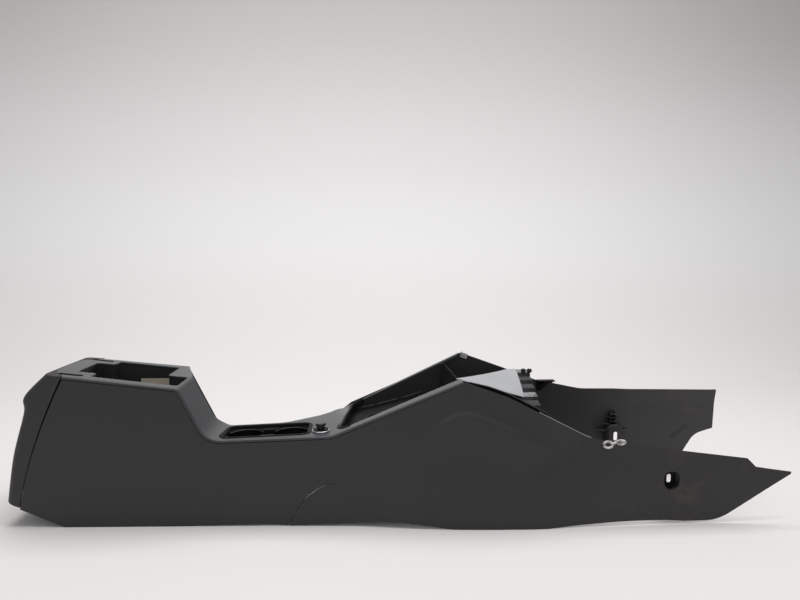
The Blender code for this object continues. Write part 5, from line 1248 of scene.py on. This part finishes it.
def coverSection(z):
    # plan of the cover at a height, from the right seam round to the left one
    s = coverSet
    seamX = stationAt(seamCurve, z) - s["gap"]
    rearX = stationAt(coverLine, z)
    radius = min(s["corner"], seamX - rearX - 1.5)
    sideX = rearX + radius
    half = halfWidth(sideX, z)
    flank = [between(seamX, sideX, index / s["flankParts"]) for index in range(s["flankParts"] + 1)]
    points = [Vector((x, -halfWidth(x, z))) for x in flank]
    for index in range(1, s["arcParts"] + 1):
        turn = math.pi / 2 * index / s["arcParts"]
        points.append(Vector((sideX - radius * math.sin(turn), radius * (1 - math.cos(turn)) - half)))
    edge = points[-1].y
    points += [Vector((rearX, edge * (1 - index / s["backParts"])))
               for index in range(1, s["backParts"] + 1)]
    return points + [Vector((p.x, -p.y)) for p in reversed(points[:-1])]


def alongLine(line, share):
    # the point at a share of a line's length
    total = sum((after - before).length for before, after in zip(line, line[1:]))
    left = share * total
    for before, after in zip(line, line[1:]):
        length = (after - before).length
        if left <= length:
            return before.lerp(after, left / length)
        left -= length
    return line[-1]


def coverFoot(x):
    # height of the cover's lower edge
    (seamX, seamZ), (footX, footZ) = sideSet["seamFoot"], coverSet["profile"][-1]
    return between(seamZ, footZ, (seamX - x) / (seamX - footX))


def rearCover():
    # a wall that rises from its foot and a lid that runs forward to the top seam
    topSeam = rearEdge(coverSet["gap"])
    lowSection = coverSection(sideSet["seamFoot"][1])
    topSection = coverSection(boxHeight(form["seamX"]))
    lengths = [0.0]
    for before, after in zip(topSection, topSection[1:]):
        lengths.append(lengths[-1] + (after - before).length)
    s = coverSet
    rows = [index / s["levels"] for index in range(s["levels"] + 1)]
    rows += [1 + index / s["lidLevels"] for index in range(1, s["lidLevels"] + 1)]

    def wallPoint(level, column):
        low = x = lowSection[column].x
        for _ in range(2):                         # the height leads to a station, and that to a height
            z = between(coverFoot(low), boxHeight(x), level)
            x, y = coverSection(z)[column]
        return x, y, z

    def place(level, column):
        if level <= 1:
            return wallPoint(level, column)
        x, y, _ = wallPoint(1.0, column)
        target = alongLine(topSeam, lengths[column] / lengths[-1])
        x, y = between(x, target.x, level - 1), between(y, target.y, level - 1)
        return x, y, boxHeight(x)
    bm = stretchedGrid(rows, list(range(len(lowSection))), place)
    bmesh.ops.recalc_face_normals(bm, faces=bm.faces)
    if bm.faces[0].calc_center_median().dot(bm.faces[0].normal) < 0:
        bmesh.ops.reverse_faces(bm, faces=bm.faces)
    bmesh.ops.solidify(bm, geom=bm.faces[:], thickness=form["panelWall"])
    roundEdges(bm, s["edgeRound"], 2, 60)
    return intoPiece(bm, "backCover", sidePlastic, replaced=("rear_cover",), slot="console_plastic",
                     sharp=50)


rearCover()
print("rear cover bent")


# Insert pieces, with their edges rounded

insertSet = {
    "rampZ": 95, "rampX": -345, "rampY": 5, "rampSlant": 0.19, "rampGap": 1,
    "sheetRear": (60, -76), "sheetSize": (146, 156), "sheetSkew": (8, -9), "sheetDip": (-3, 0),
    "bracketEdge": (201, 0.13), "bracketSpread": 11, "bracketHalf": 97,
    "wedgeTop": 176.2, "wedgeDrop": 26, "wedgeFoot": (246, 178), "wedgeTaper": 0.8,
    "lightSlit": (62, 4, 9, 158, 0.4), "slitZ": (168, 225),
    "treadUp": 0.6, "treads": (-62, 66), "steelTread": (-36, -4),
}


def underRamp(point):
    # the tray's rear wall drawn back behind the edge of the ramp
    s = insertSet
    if point.z > s["rampZ"] and point.x < s["rampX"] and point.y > s["rampY"]:
        back = (point.y - s["rampY"]) * s["rampSlant"] + s["rampGap"]
        return point - Vector((back, 0, 0))
    return point


def skewedSheet(point):
    # the pale sheet's front edge runs across at a slant
    (rearX, rightY), (length, width) = insertSet["sheetRear"], insertSet["sheetSize"]
    share = min(max((point.x - rearX) / length, 0.0), 1.0)
    across = (point.y - rightY) / width
    skew, dip = between(*insertSet["sheetSkew"], across), between(*insertSet["sheetDip"], across)
    return point + Vector((skew, 0, dip)) * share


def spreadBracket(point):
    # the stepped bracket is broader at its left end
    (edgeX, slant), s = insertSet["bracketEdge"], insertSet
    if point.x < edgeX + point.y * slant:
        return point - Vector((s["bracketSpread"] * max(point.y, 0.0) / s["bracketHalf"], 0, 0))
    return point


def dashWedge(point):
    # the bracket at the left step narrows to a wedge
    (footX, topZ), s = insertSet["wedgeFoot"], insertSet
    drop = s["wedgeTop"] - point.z
    narrow = 1 - s["wedgeTaper"] * (drop / s["wedgeDrop"])
    return Vector((footX + (point.x - footX) * narrow, point.y, topZ - drop * s["wedgeTaper"]))


inserts = {                                        # node, finish, edge radius and its parts, slot, move
    "binTub": ("storage_bin", insertPlastic, 0.5, 2, "console_plastic", None),
    "cupInsert": ("cup_holder", blackPlastic, 0.6, 2, "console_plastic", None),
    "brakeTray": ("handbrake_tray", innerPlastic, 0.5, 2, "console_plastic", underRamp),
    "shiftSurround": ("shift_surround", innerPlastic, 0.5, 2, "inner_plastic", None),
    "hingeFork": ("hinge_bracket", bracketSteel, 0.4, 2, "bracket_steel", None),
    "stepBracket": ("front_bracket", glossPlastic, 0.25, 1, "inner_plastic", spreadBracket),
    "dashAngle": ("dash_bracket_left", blackPlastic, 0.3, 2, "inner_plastic", dashWedge),
    "rearCarrier": ("rear_crossmember", innerPlastic, 0.4, 2, "console_plastic", None),
    "midCarrier": ("mid_crossmember", innerPlastic, 0.4, 2, "console_plastic", None),
    "paleCover": ("front_cover_plate", pale, 0.25, 2, "light_sheet", skewedSheet),
}
made = {name: softened(name, *row) for name, row in inserts.items()}
cutBy(made["shiftSurround"], holeTool(oblong(*insertSet["lightSlit"]), *insertSet["slitZ"], True))


def litTreads(bracket):
    # upward faces painted lighter where light falls on them, one with a bare steel strip
    (firstY, lastY), (steelFrom, steelTo) = insertSet["treads"], insertSet["steelTread"]
    for finish in (trimPlastic, bracketSteel):
        bracket.data.materials.append(finish)
    for face in bracket.data.polygons:
        y = face.center.y / mm
        if face.normal.z > insertSet["treadUp"] and firstY < y < lastY:
            face.material_index = 2 if steelFrom < y < steelTo else 1


litTreads(made["stepBracket"])
print("inserts rounded")

nodeFinish = {
    "bin_label": labelStock, "socket_sleeve": rimMetal, "socket_barrel": barrelMetal,
    "socket_contact": contactBrass, "lighter_shell": blackPlastic, "lighter_knob": knobPlastic,
    "lighter_coil_cup": contactBrass, "bracket_buffer_1": bufferRubber,
    "bracket_buffer_2": bufferRubber, "rail_clip": clipMetal,
}
for nodeName, node in nodes.items():
    finish = screwSteel if "screw" in nodeName else nodeFinish.get(nodeName, sidePlastic)
    for materialSlot in node.material_slots:
        materialSlot.material = finish
print("nodes finished")


# Floor, wall and lights

stageSet = {
    "floorFront": -2.6, "wallY": 1.5, "bend": 0.75, "wallTop": 3.2, "halfWidth": 4.0,
    "floor": (0.84, 0.815, 0.80), "wall": (0.90, 0.89, 0.885), "wallHigh": (0.56, 0.54, 0.53),
    "floorTo": (0.1, 0.5), "highFrom": (0.55, 1.5),                # heights where the colours change
    "worldColour": (0.97, 0.98, 1.0, 1), "worldStrength": 0.40,
    "lamps": {                                     # place, target, size and power
        "overhead": ((0.0, 0.10, 2.1), (0, 0.0, 0), (2.4, 1.4), 37),
        "front": ((-0.4, -2.4, 1.3), (0, 0, 0.1), (2.0, 1.2), 3),
    },
}


def sweep():
    # a pale floor that bends up into the wall
    s = stageSet
    bm = bmesh.new()
    corner = [(s["floorFront"], 0, 0), (s["wallY"], 0, s["bend"]), (s["wallY"], s["wallTop"], 0)]
    points = [Vector((-s["halfWidth"], p.x, p.y)) for p in rounded(corner, False, math.radians(4))]
    verts = [bm.verts.new(p) for p in points]
    edges = [bm.edges.new(pair) for pair in zip(verts, verts[1:])]
    pushed = bmesh.ops.extrude_edge_only(bm, edges=edges)["geom"]
    pushedVerts = [item for item in pushed if isinstance(item, bmesh.types.BMVert)]
    bmesh.ops.translate(bm, vec=(2 * s["halfWidth"], 0, 0), verts=pushedVerts)
    mesh = bpy.data.meshes.new("sweep")
    bm.to_mesh(mesh)
    bm.free()
    mesh.shade_smooth()
    paint = Paint("sweepPaint", s["floor"], 0.9)
    height = paint.part("Z")
    # painted shade: the wall grows darker towards its top
    wall = paint.mixed(height.step(*s["highFrom"]), (*s["wall"], 1), (*s["wallHigh"], 1))
    paint.give("Base Color", paint.mixed(height.step(*s["floorTo"]), (*s["floor"], 1), wall))
    mesh.materials.append(paint.material)
    item = bpy.data.objects.new("sweep", mesh)
    scene.collection.objects.link(item)


def areaLamp(name, place, target, size, power):
    data = bpy.data.lights.new(name, 'AREA')
    data.shape = 'RECTANGLE'
    data.size, data.size_y = size
    data.energy = power
    lamp = bpy.data.objects.new(name, data)
    scene.collection.objects.link(lamp)
    lamp.location = place
    lamp.rotation_euler = (Vector(target) - Vector(place)).to_track_quat('-Z', 'Y').to_euler()


sweep()
world = bpy.data.worlds.new("world")
scene.world = world
world.use_nodes = True
background = world.node_tree.nodes["Background"]
background.inputs["Color"].default_value = stageSet["worldColour"]
background.inputs["Strength"].default_value = stageSet["worldStrength"]
for lampName, lampRow in stageSet["lamps"].items():
    areaLamp(lampName, *lampRow)
print("lights set")


print("scene dressed")
